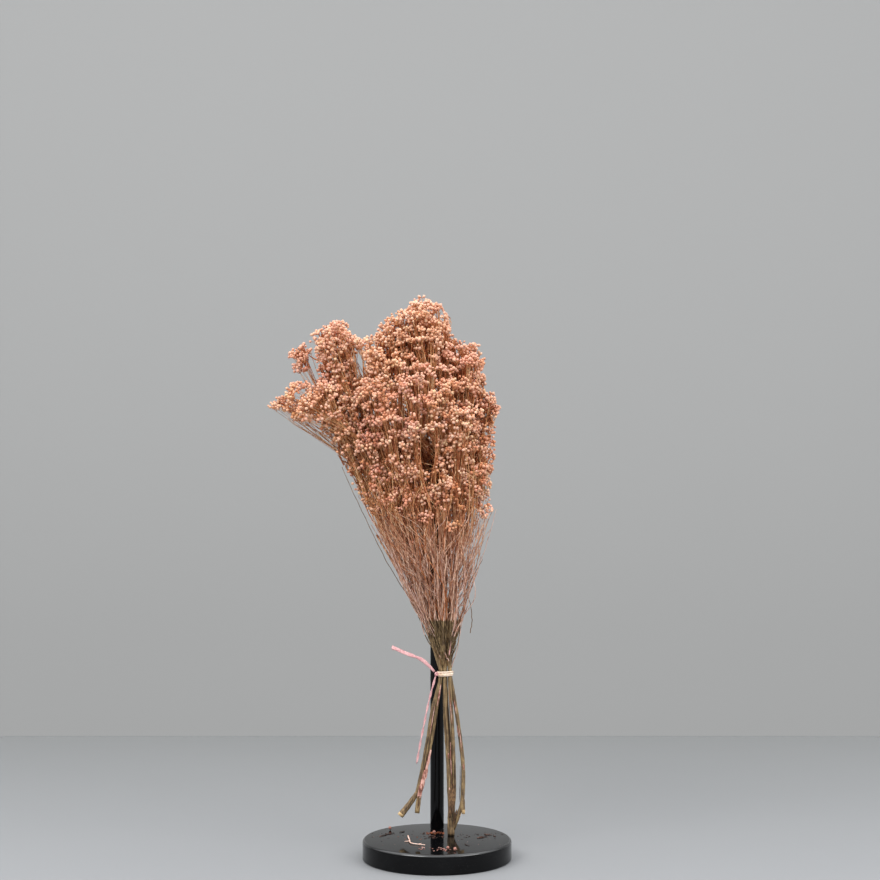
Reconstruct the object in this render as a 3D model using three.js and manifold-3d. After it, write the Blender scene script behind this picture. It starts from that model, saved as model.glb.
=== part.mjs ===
// Dried broom bloom: a tied, dyed bunch on a glossy display stand.
// Millimetres, +Z up, origin at the centre of the disc's underside, front towards -Y.
import * as THREE from "three";
import { mergeVertices } from "three/addons/utils/BufferGeometryUtils.js";
import Module from "manifold-3d";

const wasm = await Module();
wasm.setup();

// The stand's driving dimensions
const DISC_DIAMETER = 150;
const DISC_THICKNESS = 20;
const DISC_EDGE_RADIUS = 3;
const DISC_FOOT_CHAMFER = 1;
const POST_DIAMETER = 14;
const POST_SET_BACK = 47;
const POST_TOP = 410;
const SCREW_DIAMETER = 6;
const SCREW_HEAD_DIAMETER = 11;
const SCREW_HEAD_HEIGHT = 5;
const SCREW_REACH_IN_POST = 18;
const FIT_GAP = 0.3;
const FINEST_DETAIL = 0.03;

// The bunch's driving dimensions
const TIE_CENTRE = point(8.4, 24.5, 183);
const TIE_WIDTH = 4.4;
const TIE_THICKNESS = 1.2;
const TIE_SLACK = 0.8;
const TIE_COLUMN = 4.5;
const TIE_ROW = 4.6;
const KNOT_RADIUS = 2.4;
const DYE_LINE = 235;
const LOW_STEM_RADIUS = 2.45;
const STEM_RADIUS = 2.1;
const SPRAY_BASE_RADIUS = 1.9;
const SPRAY_TIP_RADIUS = 1.25;
const TWIG_RADIUS = 1;
const TWIG_TIP_RADIUS = 0.8;

// How the heads are spaced over the crown
const HEAD_TRIES = 9000;
const HEAD_SPACING = 24;
const LARGEST_HEAD = 21;
const SMALLEST_HEAD = 7.5;
const LOWEST_HEAD = 345;
const SHARED_OVERLAP = 1.3;
const GROWTH_ROUNDS = 12;

// How the twigs branch
const LEADER_SPACING = 0.075;
const LEADING_STEPS = 3;
const SIDE_STEPS = 2;
const SIDE_SAMPLES = 20;
const SIDE_STEEPNESS = 1.1;
const SIDE_BOW = 0.06;
const LOWEST_FORK = DYE_LINE + 8;
const FORK_RANGE = 0.5;
const POST_BERTH = 4.5;
const POST_BERTH_ABOVE = 30;
const STATIONS = [0, 0.25, 0.5, 0.75, 1];

const GLOSS_BLACK = { color: 0x0c0c0d, roughness: 0.12, metalness: 0.1 };
const STEEL = { color: 0x9a9a9c, roughness: 0.35, metalness: 1 };
const BARK = { color: 0x8a7050, roughness: 0.85, metalness: 0 };
const DYED_BLOOM = { color: 0xc88660, roughness: 0.9, metalness: 0 };
const CREAM_RAFFIA = { color: 0xf0dcc0, roughness: 0.8, metalness: 0 };
const PINK_RAFFIA = { color: 0xe8a8b0, roughness: 0.8, metalness: 0 };

// Sprays: how far each one's main stem leans to the right and to the back, per unit of height
const SPRAYS = [
  { name: "spray_top", lean: new THREE.Vector2(-0.07, 0.06) },
  { name: "spray_upper_left", lean: new THREE.Vector2(-0.28, 0.09) },
  { name: "spray_far_left", lean: new THREE.Vector2(-0.5, 0.04) },
  { name: "spray_left_front", lean: new THREE.Vector2(-0.25, -0.1) },
  { name: "spray_front", lean: new THREE.Vector2(-0.08, -0.13) },
  { name: "spray_front_right", lean: new THREE.Vector2(0.1, -0.11) },
  { name: "spray_right", lean: new THREE.Vector2(0.14, 0.07) },
  { name: "spray_back_left", lean: new THREE.Vector2(-0.22, 0.27) },
  { name: "spray_back_right", lean: new THREE.Vector2(0.06, 0.26) },
];

// Lobes: the rounded masses that make up the crown's outline
const SMALL_LOBE = 20;
const LOBES = [
  { centre: point(-22, 38, 442), radii: point(82, 72, 84) },
  { centre: point(-10, 42, 520), radii: point(37, 40, 50) },
  { centre: point(-52, 40, 488), radii: point(43, 46, 46) },
  { centre: point(-102, 38, 505), radii: point(27, 28, 35) },
  { centre: point(-139, 40, 505), radii: point(14, 14, 16) },
  { centre: point(-116, 30, 455), radii: point(42, 38, 28) },
  { centre: point(-156, 28, 450), radii: point(17, 16, 16) },
  { centre: point(22, 40, 488), radii: point(28, 38, 40) },
  { centre: point(50, 34, 452), radii: point(17, 18, 24) },
  { centre: point(-6, 34, 392), radii: point(60, 58, 50) },
];

// The gap in the front of the crown through which the post's top shows
const WINDOW = { x: -8, z: 407, halfWidth: 21.5, halfHeight: 20 };

const bunch = new THREE.Group();

function point(x, y, z) {
  return new THREE.Vector3(x, y, z);
}

function addPiece(name, geometry, look) {
  const piece = new THREE.Mesh(geometry, new THREE.MeshStandardMaterial(look));
  piece.name = name;
  bunch.add(piece);
}

// Random draws that come out the same on every run
function seededRandom(seed) {
  let state = seed >>> 0;
  return () => {
    state = (Math.imul(state, 1664525) + 1013904223) >>> 0;
    return state / 2 ** 32;
  };
}

// Joining and cutting closed shapes
function toSolid(geometry) {
  const bare = geometry.clone();
  bare.deleteAttribute("normal");
  bare.deleteAttribute("uv");
  const welded = mergeVertices(bare, 1e-4);
  return new wasm.Manifold(new wasm.Mesh({
    numProp: 3,
    vertProperties: new Float32Array(welded.attributes.position.array),
    triVerts: new Uint32Array(welded.index.array),
  }));
}

function toGeometry(solid) {
  const mesh = solid.getMesh();
  const geometry = new THREE.BufferGeometry();
  geometry.setAttribute("position", new THREE.BufferAttribute(mesh.vertProperties, 3));
  geometry.setIndex(new THREE.BufferAttribute(mesh.triVerts, 1));
  geometry.computeVertexNormals();
  return geometry;
}

// Joins closed shapes into one; a pocket that the joining seals is filled
function fuse(geometries) {
  const joined = geometries.map(toSolid).reduce((whole, next) => whole.add(next));
  const shells = joined.decompose().filter((shell) => shell.volume() > 0);
  return toGeometry(shells.reduce((whole, next) => whole.add(next)).simplify(FINEST_DETAIL));
}

// A rod bent along a smooth path, its radius running evenly from one end's to the other's
function taperedStem(points, radii, sides, steps) {
  const path = new THREE.CatmullRomCurve3(points, false, "centripetal");
  const frames = path.computeFrenetFrames(steps, false);
  const stem = new THREE.CylinderGeometry(1, 1, 1, sides, steps);
  const corners = stem.attributes.position;
  for (let i = 0; i < corners.count; i += 1) {
    const along = corners.getY(i) + 1 / 2;
    const step = Math.round(along * steps);
    const radius = THREE.MathUtils.lerp(radii[0], radii[1], along);
    const at = path.getPointAt(along)
      .addScaledVector(frames.normals[step], corners.getZ(i) * radius)
      .addScaledVector(frames.binormals[step], corners.getX(i) * radius);
    corners.setXYZ(i, at.x, at.y, at.z);
  }
  return stem;
}

// A length of string: the same round section all along its route
function stringTube(route, diameter, steps) {
  const section = new THREE.Shape();
  section.absarc(0, 0, diameter / 2, 0, 2 * Math.PI, false);
  return new THREE.ExtrudeGeometry(section, {
    steps,
    curveSegments: 4,
    bevelEnabled: false,
    extrudePath: new THREE.CatmullRomCurve3(route, false, "centripetal"),
  });
}

function quarterArc(steps, centreX, centreY, radius) {
  return Array.from({ length: steps + 1 }, (unused, i) => {
    const turn = (i / steps) * Math.PI / 2;
    return new THREE.Vector2(centreX + radius * Math.cos(turn), centreY + radius * Math.sin(turn));
  });
}

function turnedOnPostAxis(profile, sides) {
  return new THREE.LatheGeometry(profile, sides).rotateX(Math.PI / 2).translate(0, POST_SET_BACK, 0);
}

// Stand: a disc with a rounded edge, drilled for the screw that holds the post
function makeDisc() {
  const radius = DISC_DIAMETER / 2;
  const profile = [
    new THREE.Vector2(0, 0),
    new THREE.Vector2(radius - DISC_FOOT_CHAMFER, 0),
    new THREE.Vector2(radius, DISC_FOOT_CHAMFER),
    ...quarterArc(3, radius - DISC_EDGE_RADIUS, DISC_THICKNESS - DISC_EDGE_RADIUS, DISC_EDGE_RADIUS),
    new THREE.Vector2(0, DISC_THICKNESS),
  ];
  const disc = new THREE.LatheGeometry(profile, 48).rotateX(Math.PI / 2);
  const headHole = SCREW_HEAD_DIAMETER / 2 + FIT_GAP;
  const headDepth = SCREW_HEAD_HEIGHT + 2 * FIT_GAP;
  const shankHole = SCREW_DIAMETER / 2 + FIT_GAP;
  const drilled = turnedOnPostAxis([
    new THREE.Vector2(0, -1),
    new THREE.Vector2(headHole, -1),
    new THREE.Vector2(headHole, headDepth),
    new THREE.Vector2(shankHole, headDepth),
    new THREE.Vector2(shankHole, DISC_THICKNESS + 1),
    new THREE.Vector2(0, DISC_THICKNESS + 1),
  ], 18);
  return toGeometry(toSolid(disc).subtract(toSolid(drilled)));
}

function makePost() {
  const radius = POST_DIAMETER / 2;
  const foot = DISC_THICKNESS + FIT_GAP;
  const holeRadius = SCREW_DIAMETER / 2 + FIT_GAP;
  const holeTop = foot + SCREW_REACH_IN_POST + 2;
  const dome = quarterArc(4, 0, POST_TOP - radius, radius);
  dome[dome.length - 1].x = 0;
  return turnedOnPostAxis([
    new THREE.Vector2(0, holeTop),
    new THREE.Vector2(holeRadius, holeTop),
    new THREE.Vector2(holeRadius, foot),
    new THREE.Vector2(radius, foot),
    ...dome,
  ], 20);
}

function makeScrew() {
  const headTop = FIT_GAP + SCREW_HEAD_HEIGHT;
  const tip = DISC_THICKNESS + FIT_GAP + SCREW_REACH_IN_POST;
  return turnedOnPostAxis([
    new THREE.Vector2(0, FIT_GAP),
    new THREE.Vector2(SCREW_HEAD_DIAMETER / 2, FIT_GAP),
    new THREE.Vector2(SCREW_HEAD_DIAMETER / 2, headTop),
    new THREE.Vector2(SCREW_DIAMETER / 2, headTop),
    new THREE.Vector2(SCREW_DIAMETER / 2, tip - 1),
    new THREE.Vector2(0, tip),
  ], 16);
}

// How far the bunch has opened at a height, in units of a spray's lean
function opening(height) {
  const tightest = 0.74;
  const openAbove = 140;
  const rise = height - TIE_CENTRE.z;
  return rise * THREE.MathUtils.lerp(tightest, 1, THREE.MathUtils.clamp(rise / openAbove, 0, 1));
}

function spreadPoint(lean, height) {
  const open = opening(height);
  return point(TIE_CENTRE.x + lean.x * open, TIE_CENTRE.y + lean.y * open, height);
}

function leanOf(place) {
  const open = opening(place.z);
  return new THREE.Vector2((place.x - TIE_CENTRE.x) / open, (place.y - TIE_CENTRE.y) / open);
}

// A stem that would run into the post bends round it
function bendRoundPost(place) {
  if (place.z > POST_TOP + POST_BERTH_ABOVE) return place;
  const away = new THREE.Vector2(place.x, place.y - POST_SET_BACK);
  const nearest = POST_DIAMETER / 2 + POST_BERTH;
  if (away.length() >= nearest) return place;
  away.setLength(nearest);
  return point(away.x, POST_SET_BACK + away.y, place.z);
}

function depthInLobe(place, lobe) {
  return place.clone().sub(lobe.centre).divide(lobe.radii).length();
}

function nearestSpray(lean) {
  return SPRAYS.reduce((best, spray) => (
    spray.lean.distanceTo(lean) < best.lean.distanceTo(lean) ? spray : best));
}

// Heads are thrown over the outsides of the lobes and keep apart from each other
function throwHeads() {
  const random = seededRandom(20731);
  const heads = [];
  for (let i = 0; i < HEAD_TRIES; i += 1) {
    const lobe = LOBES[Math.floor(random() * LOBES.length)];
    const small = lobe.radii.x < SMALL_LOBE;
    const seat = small ? 0.25 : 0.84 - 0.1 * random();
    const shallowest = small ? 0.6 : 0.74;
    const up = 2 * random() - 1;
    const turn = 2 * Math.PI * random();
    const flat = Math.sqrt(1 - up * up);
    const place = point(flat * Math.cos(turn), flat * Math.sin(turn), up)
      .multiply(lobe.radii).multiplyScalar(seat).add(lobe.centre);
    const buried = LOBES.some((other) => other !== lobe && depthInLobe(place, other) < shallowest);
    const inWindow = place.y < POST_SET_BACK
      && Math.abs(place.x - WINDOW.x) < WINDOW.halfWidth
      && Math.abs(place.z - WINDOW.z) < WINDOW.halfHeight;
    const crowded = heads.some((head) => head.place.distanceTo(place) < HEAD_SPACING);
    if (place.z < LOWEST_HEAD || buried || inWindow || crowded) continue;
    heads.push({ place, spray: nearestSpray(leanOf(place)), fork: random(), turn: 2 * Math.PI * random() });
  }
  return heads;
}

function forkHeight(head) {
  return LOWEST_FORK + (head.place.z - DYE_LINE) * FORK_RANGE * head.fork;
}

// A leading twig leaves its spray's main stem low down and curves out to its head
function leadingTwig(head) {
  const target = leanOf(head.place);
  const points = STATIONS.map((along) => {
    const lean = head.spray.lean.clone().lerp(target, along ** 0.7);
    return bendRoundPost(spreadPoint(lean, THREE.MathUtils.lerp(forkHeight(head), head.place.z, along)));
  });
  return { points, steps: LEADING_STEPS };
}

function pointOnRoute(route, along) {
  const reach = along * (route.length - 1);
  const step = Math.min(Math.floor(reach), route.length - 2);
  return route[step].clone().lerp(route[step + 1], reach - step);
}

// A side twig leaves a leading twig at the nearest place from which it still rises
function sideTwig(head, leaders) {
  let best = null;
  for (const leader of leaders) {
    for (let i = 1; i < SIDE_SAMPLES; i += 1) {
      const from = pointOnRoute(leader.route, i / SIDE_SAMPLES);
      const rise = head.place.z - from.z;
      const across = Math.hypot(head.place.x - from.x, head.place.y - from.y);
      const distance = head.place.distanceTo(from);
      const nearer = best === null || distance < best.distance;
      if (nearer && rise > SIDE_STEEPNESS * across) best = { from, distance };
    }
  }
  if (best === null) return null;
  const middle = best.from.clone().lerp(head.place, 1 / 2);
  middle.z -= SIDE_BOW * best.distance;
  return { points: [best.from, middle, head.place], steps: SIDE_STEPS };
}

function mainStemPoints(spray) {
  const top = Math.max(...spray.leaders.map(forkHeight)) + 6;
  return STATIONS.map((along) => (
    bendRoundPost(spreadPoint(spray.lean, THREE.MathUtils.lerp(DYE_LINE + FIT_GAP, top, along)))));
}

function distanceToRoute(place, route) {
  const nearest = new THREE.Vector3();
  const gaps = route.slice(1).map((end, i) => (
    new THREE.Line3(route[i], end).closestPointToPoint(place, true, nearest).distanceTo(place)));
  return Math.min(...gaps);
}

function clearsPost(route) {
  const nearest = POST_DIAMETER / 2 + TWIG_RADIUS + 2 * FIT_GAP;
  const checksPerStep = 5;
  const checks = checksPerStep * (route.length - 1);
  return Array.from({ length: checks + 1 }, (unused, i) => pointOnRoute(route, i / checks))
    .every((at) => at.z > POST_TOP + 1 || Math.hypot(at.x, at.y - POST_SET_BACK) > nearest);
}

// Gives a head its twig, or says that the twig would touch the post
function addTwig(head, twig) {
  if (twig === null) return false;
  head.twig = twig;
  head.route = new THREE.CatmullRomCurve3(twig.points, false, "centripetal").getSpacedPoints(twig.steps);
  return clearsPost(head.route);
}

// The furthest heads of a spray, well apart, have leading twigs; the rest sit on side twigs
function growTwigs(thrown) {
  const grown = [];
  for (const spray of SPRAYS) {
    const own = thrown.filter((head) => head.spray === spray)
      .sort((one, other) => other.place.distanceTo(TIE_CENTRE) - one.place.distanceTo(TIE_CENTRE));
    const leaders = [];
    for (const head of own) {
      const lean = leanOf(head.place);
      const apart = leaders.every((leader) => leanOf(leader.place).distanceTo(lean) > LEADER_SPACING);
      if (apart && addTwig(head, leadingTwig(head))) leaders.push(head);
    }
    const others = own.filter((head) => !leaders.includes(head));
    grown.push(...leaders, ...others.filter((head) => addTwig(head, sideTwig(head, leaders))));
    spray.leaders = leaders;
  }
  return grown;
}

// A head grows until it nearly meets its neighbours, the post or a stem of another spray
function sizeHeads(heads) {
  for (const head of heads) {
    const strangers = heads.filter((other) => other.spray !== head.spray)
      .map((other) => distanceToRoute(head.place, other.route) - TWIG_RADIUS - FIT_GAP);
    const beside = Math.hypot(head.place.x, head.place.y - POST_SET_BACK) - POST_DIAMETER / 2 - FIT_GAP;
    const over = head.place.z - POST_TOP - FIT_GAP;
    head.room = Math.min(LARGEST_HEAD, Math.max(beside, over), ...strangers);
    head.radius = 0;
  }
  for (let round = 1; round <= GROWTH_ROUNDS; round += 1) {
    for (const head of heads) {
      const neighbours = heads.filter((other) => other !== head).map((other) => {
        const apart = other.place.distanceTo(head.place);
        return (other.spray === head.spray ? SHARED_OVERLAP * apart : apart - 2 * FIT_GAP) - other.radius;
      });
      const grown = LARGEST_HEAD * round / GROWTH_ROUNDS;
      head.radius = Math.max(head.radius, Math.min(grown, head.room, ...neighbours));
    }
  }
  return heads.filter((head) => head.radius >= SMALLEST_HEAD || head.spray.leaders.includes(head));
}

// One head: a ball of twenty pods, one raised on each face, narrower at its stalk
function makeHead(head, random) {
  const valley = { least: 0.72, spread: 0.1 };
  const waistDepth = 0.3;
  const tipSpread = 0.1;
  const growth = head.place.clone().sub(head.route[head.route.length - 2]).normalize();
  const tilt = new THREE.Quaternion().setFromAxisAngle(growth, head.turn);
  const ball = new THREE.IcosahedronGeometry(1, 0).attributes.position;
  const valleys = new Map();
  const valleyAt = (i) => {
    const direction = new THREE.Vector3().fromBufferAttribute(ball, i);
    const key = direction.toArray().map((value) => value.toFixed(3)).join(" ");
    if (!valleys.has(key)) valleys.set(key, valley.least + valley.spread * random());
    return { direction, reach: valleys.get(key) };
  };
  const place = ({ direction, reach }) => {
    const turned = direction.clone().applyQuaternion(tilt);
    const upward = turned.dot(growth);
    const waist = upward < 0 ? 1 - waistDepth * upward * upward : 1;
    return turned.multiplyScalar(head.radius * reach * waist).add(head.place);
  };
  const corners = [];
  for (let i = 0; i < ball.count; i += 3) {
    const rim = [valleyAt(i), valleyAt(i + 1), valleyAt(i + 2)];
    const middle = rim[0].direction.clone().add(rim[1].direction).add(rim[2].direction).normalize();
    const tip = { direction: middle, reach: 1 - tipSpread * random() };
    for (let k = 0; k < 3; k += 1) {
      corners.push(place(rim[k]), place(rim[(k + 1) % 3]), place(tip));
    }
  }
  return new THREE.BufferGeometry().setFromPoints(corners);
}

function makeSpray(spray) {
  const random = seededRandom(911 + SPRAYS.indexOf(spray));
  const pieces = [taperedStem(mainStemPoints(spray), [SPRAY_BASE_RADIUS, SPRAY_TIP_RADIUS], 4, 5)];
  for (const head of spray.heads) {
    pieces.push(taperedStem(head.twig.points, [TWIG_RADIUS, TWIG_TIP_RADIUS], 3, head.twig.steps));
    pieces.push(makeHead(head, random));
  }
  return fuse(pieces);
}

// Undyed woody stems, each from its lowest point up to its slot in the tie.
// A slot is a column and a row of the bundle, counted from its middle.
const CROTCH_HEIGHT = TIE_CENTRE.z + TIE_WIDTH / 2 + 0.6;
const WOODY_STEMS = [
  {
    plant: "woody_left",
    slot: [-1, -0.5],
    feeds: ["spray_far_left", "spray_left_front"],
    lower: [
      point(-20.5, 15.7, 61.5), point(-18.2, 17, 70), point(-14, 18.5, 90), point(-9, 20, 117),
      point(-3.8, 21.3, 149), point(2.4, 22, 172),
    ],
  },
  {
    plant: "woody_left",
    slot: [-1, 0.5],
    feeds: ["spray_upper_left", "spray_back_left"],
    lower: [
      point(-20.2, 12.5, 43), point(-19.2, 13.5, 52), point(-17.4, 15.8, 64), point(-14.8, 18, 76),
      point(-10.8, 20.6, 94), point(-5.6, 22.8, 118), point(-0.6, 24.8, 149), point(3, 26.3, 172),
    ],
  },
  {
    plant: "woody_right",
    slot: [0, -0.5],
    feeds: ["spray_front", "spray_top"],
    lower: [
      point(13.4, 17, 46), point(12.4, 18, 64), point(11.4, 19.5, 94), point(8.9, 21, 135),
      point(8.1, 22, 170),
    ],
  },
  {
    plant: "woody_right",
    slot: [1, -0.5],
    feeds: ["spray_front_right"],
    lower: [
      point(16.2, 17, 46), point(17.4, 18, 64), point(16.9, 19.5, 94), point(15.1, 21, 135),
      point(13, 22, 170),
    ],
  },
  {
    plant: "woody_right",
    slot: [1, 0.5],
    feeds: ["spray_right"],
    lower: [
      point(16.4, 16.3, 26), point(21.4, 17, 38.5), point(25.2, 18, 52), point(26.5, 19.5, 70),
      point(26.4, 20.5, 90), point(24.4, 22, 110), point(20.4, 24.4, 139), point(15.2, 26.4, 170),
    ],
  },
  {
    plant: "woody_right",
    slot: [0, 0.5],
    feeds: ["spray_back_right"],
    lower: [
      point(14.6, 19, 44), point(14.3, 22, 64), point(13.5, 24, 94), point(10.8, 26, 135),
      point(8.8, 26.6, 170),
    ],
  },
];

// Cut, broken and standing ends at the foot of the plants
const WOODY_ENDS = [
  {
    plant: "woody_left",
    points: [point(-20, 15.9, 63), point(-28.5, 14.8, 51), point(-37.5, 14, 40)],
    radii: [2.2, 3.3],
    sides: 7,
  },
  {
    plant: "woody_right",
    points: [point(26.1, 18.6, 56), point(26.6, 18, 48), point(26.9, 17.6, 41)],
    radii: [2.3, 1.5],
    sides: 5,
  },
  {
    plant: "woody_right",
    points: [
      point(14.2, 16, DISC_THICKNESS + FIT_GAP), point(14.2, 16, 28), point(14.7, 17, 40),
      point(14.9, 17.6, 54),
    ],
    radii: [3.8, 3.2],
    sides: 8,
  },
];

// A branch from the tie up to the foot of its spray's dyed stem
function branchTo(spray, slot) {
  const straight = 10;
  const parting = 0.12;
  const above = mainStemPoints(spray);
  const direction = above[1].clone().sub(above[0]).normalize();
  const start = slot.clone().setZ(CROTCH_HEIGHT);
  const end = above[0].clone().addScaledVector(direction, -FIT_GAP);
  const below = above[0].clone().addScaledVector(direction, -straight);
  const leaving = start.clone().lerp(below, parting);
  return taperedStem([start, leaving, below, end], [SPRAY_BASE_RADIUS, SPRAY_BASE_RADIUS], 5, 5);
}

function makeWoody(plant) {
  const pieces = [];
  for (const stem of WOODY_STEMS.filter((one) => one.plant === plant)) {
    const [column, row] = stem.slot;
    const slot = TIE_CENTRE.clone().add(point(column * TIE_COLUMN, row * TIE_ROW, 0));
    const crotch = slot.clone().setZ(CROTCH_HEIGHT + 3);
    const path = [...stem.lower, slot, crotch];
    pieces.push(taperedStem(path, [LOW_STEM_RADIUS, STEM_RADIUS], 6, path.length - 1));
    for (const name of stem.feeds) {
      pieces.push(branchTo(SPRAYS.find((spray) => spray.name === name), slot));
    }
  }
  for (const end of WOODY_ENDS.filter((one) => one.plant === plant)) {
    pieces.push(taperedStem(end.points, end.radii, end.sides, end.points.length));
  }
  return fuse(pieces);
}

// Tie: a flat band of raffia hugging the stems, with its knot at the left
const KNOT_CENTRE = point(-0.7, 19.2, TIE_CENTRE.z);

function roundedOutline(shape, halfWidth, halfDepth, radius) {
  const x = halfWidth - radius;
  const y = halfDepth - radius;
  const quarter = Math.PI / 2;
  shape.absarc(x, y, radius, 0, quarter, false);
  shape.absarc(-x, y, radius, quarter, 2 * quarter, false);
  shape.absarc(-x, -y, radius, 2 * quarter, 3 * quarter, false);
  shape.absarc(x, -y, radius, 3 * quarter, 4 * quarter, false);
  return shape;
}

function makeTie() {
  const halfWidth = TIE_COLUMN + STEM_RADIUS + TIE_SLACK;
  const halfDepth = TIE_ROW / 2 + STEM_RADIUS + TIE_SLACK;
  const outline = roundedOutline(
    new THREE.Shape(), halfWidth + TIE_THICKNESS, halfDepth + TIE_THICKNESS, STEM_RADIUS + TIE_THICKNESS);
  outline.holes.push(roundedOutline(new THREE.Path(), halfWidth, halfDepth, STEM_RADIUS));
  const band = new THREE.ExtrudeGeometry(outline, { depth: TIE_WIDTH, bevelEnabled: false, curveSegments: 5 })
    .translate(TIE_CENTRE.x, TIE_CENTRE.y, TIE_CENTRE.z - TIE_WIDTH / 2);
  const knot = new THREE.IcosahedronGeometry(KNOT_RADIUS, 1).translate(...KNOT_CENTRE.toArray());
  return fuse([band, knot]);
}

// The tie's two free tails
const UPPER_TAIL = {
  diameter: 3,
  steps: 7,
  route: [
    point(-2.7, 18.9, 185.4), point(-8.6, 18.5, 191.8), point(-16, 18, 198), point(-32.7, 17, 204.8),
    point(-45.9, 16, 211),
  ],
};
const LOWER_TAIL = {
  diameter: 2.4,
  steps: 14,
  route: [
    point(-1.6, 18.9, 180.4), point(-5.6, 18.2, 166), point(-9.4, 17.5, 150.8), point(-12.5, 17, 135.5),
    point(-16.6, 16.5, 115), point(-20.7, 16, 92.7),
  ],
};

// Bits that have dropped on the disc, as places on its top
const FALLEN_TWIG_RADIUS = 0.8;
const FALLEN_TWIG_PLACES = [[-29.3, 6.5], [-27.5, -12], [-25.8, -25.6], [-20, -31], [-11.8, -34.6]];
const FALLEN_POD_RADIUS = 1.8;
const FALLEN_POD_PLACES = [[-48.4, 39.9], [10.8, -52], [17.6, -56.7], [-3.1, 20.6]];

function makeFallenTwig() {
  const height = DISC_THICKNESS + FIT_GAP + FALLEN_TWIG_RADIUS;
  const points = FALLEN_TWIG_PLACES.map(([x, y]) => point(x, y, height));
  return taperedStem(points, [FALLEN_TWIG_RADIUS, FALLEN_TWIG_RADIUS / 2], 5, 6);
}

const heads = sizeHeads(growTwigs(throwHeads()));
for (const spray of SPRAYS) {
  spray.heads = heads.filter((head) => head.spray === spray);
}

addPiece("stand_disc", makeDisc(), GLOSS_BLACK);
addPiece("stand_post", makePost(), GLOSS_BLACK);
addPiece("stand_screw", makeScrew(), STEEL);
addPiece("woody_left", makeWoody("woody_left"), BARK);
addPiece("woody_right", makeWoody("woody_right"), BARK);
for (const spray of SPRAYS) {
  addPiece(spray.name, makeSpray(spray), DYED_BLOOM);
}
addPiece("tie", makeTie(), CREAM_RAFFIA);
addPiece("tie_tail_upper", stringTube(UPPER_TAIL.route, UPPER_TAIL.diameter, UPPER_TAIL.steps), PINK_RAFFIA);
addPiece("tie_tail_lower", stringTube(LOWER_TAIL.route, LOWER_TAIL.diameter, LOWER_TAIL.steps), PINK_RAFFIA);
addPiece("fallen_twig", makeFallenTwig(), BARK);
FALLEN_POD_PLACES.forEach(([x, y], i) => {
  const pod = new THREE.IcosahedronGeometry(FALLEN_POD_RADIUS, 0)
    .translate(x, y, DISC_THICKNESS + FIT_GAP + FALLEN_POD_RADIUS);
  addPiece(`fallen_pod_${i + 1}`, pod, DYED_BLOOM);
});

export default bunch;
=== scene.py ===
"""Dried broom bloom: a tied, dyed bunch held upright on a glossy display stand."""

import itertools
import math

import bmesh
import bpy
from mathutils import Matrix, Quaternion, Vector


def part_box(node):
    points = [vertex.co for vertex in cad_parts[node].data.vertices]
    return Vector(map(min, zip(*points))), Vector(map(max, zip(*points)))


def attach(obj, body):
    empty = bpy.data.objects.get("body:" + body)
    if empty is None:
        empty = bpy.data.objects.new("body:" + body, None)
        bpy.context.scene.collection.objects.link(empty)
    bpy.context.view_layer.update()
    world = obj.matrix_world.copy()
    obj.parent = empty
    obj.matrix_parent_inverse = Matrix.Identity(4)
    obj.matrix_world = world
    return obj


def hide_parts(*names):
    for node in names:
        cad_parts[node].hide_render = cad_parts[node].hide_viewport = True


bl_info = {
    "name": "Dried Broom Bloom",
    "version": (1, 0, 0),
    "blender": (4, 5, 0),
    "location": "3D View > Sidebar > Broom Bloom",
    "description": "Makes a tied bunch of dried, dyed broom bloom on a display stand",
    "category": "Object",
}

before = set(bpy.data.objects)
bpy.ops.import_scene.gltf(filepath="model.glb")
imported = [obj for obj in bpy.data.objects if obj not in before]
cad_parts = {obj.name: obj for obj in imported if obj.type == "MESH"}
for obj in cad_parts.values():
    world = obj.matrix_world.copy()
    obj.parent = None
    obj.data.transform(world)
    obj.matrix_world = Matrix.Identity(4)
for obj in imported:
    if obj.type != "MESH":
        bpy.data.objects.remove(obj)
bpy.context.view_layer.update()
MM = 0.001


# Measures, in millimetres

DISC_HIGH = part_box("stand_disc")[1]
POST_LOW, POST_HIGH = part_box("stand_post")
DISC_TOP = DISC_HIGH.z / MM
DISC_RADIUS = DISC_HIGH.x / MM
POST_RADIUS = POST_HIGH.x / MM
POST_FOOT = POST_LOW.z / MM
POST_TOP = POST_HIGH.z / MM
POST_Y = (POST_LOW.y + POST_HIGH.y) / 2 / MM
TIE_CENTRE = Vector((8.4, 24.5, 183))
TIE_COLUMN = 4.5
TIE_ROW = 4.6
CROTCH_HEIGHT = 185.8
DYE_LINE = 235
GOLDEN_TURN = 2.399963

# Where each spray leans: sideways and to the back, in millimetres for each one of height
SPRAYS = {
    "spray_top": Vector((-0.07, 0.06)),
    "spray_upper_left": Vector((-0.28, 0.09)),
    "spray_far_left": Vector((-0.5, 0.04)),
    "spray_left_front": Vector((-0.25, -0.1)),
    "spray_front": Vector((-0.08, -0.13)),
    "spray_front_right": Vector((0.1, -0.11)),
    "spray_right": Vector((0.14, 0.07)),
    "spray_back_left": Vector((-0.22, 0.27)),
    "spray_back_right": Vector((0.06, 0.26)),
}
# How far left: where wires get thinner, where they may start, and where they bend out to the far tip
FAR_LEFT = -0.43
LEFTMOST_START = -0.46
FAR_TIP = -0.47
CROWN_LOW, CROWN_HIGH = (
    Vector([outer(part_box(name)[side][i] for name in SPRAYS) for i in range(3)]) / MM
    for side, outer in ((0, min), (1, max))
)


def make_lobe(*numbers):
    """One lobe of the crown: its centre, and its reach sideways, front to back and upwards."""
    return Vector(numbers[:3]), Vector(numbers[3:])


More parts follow.
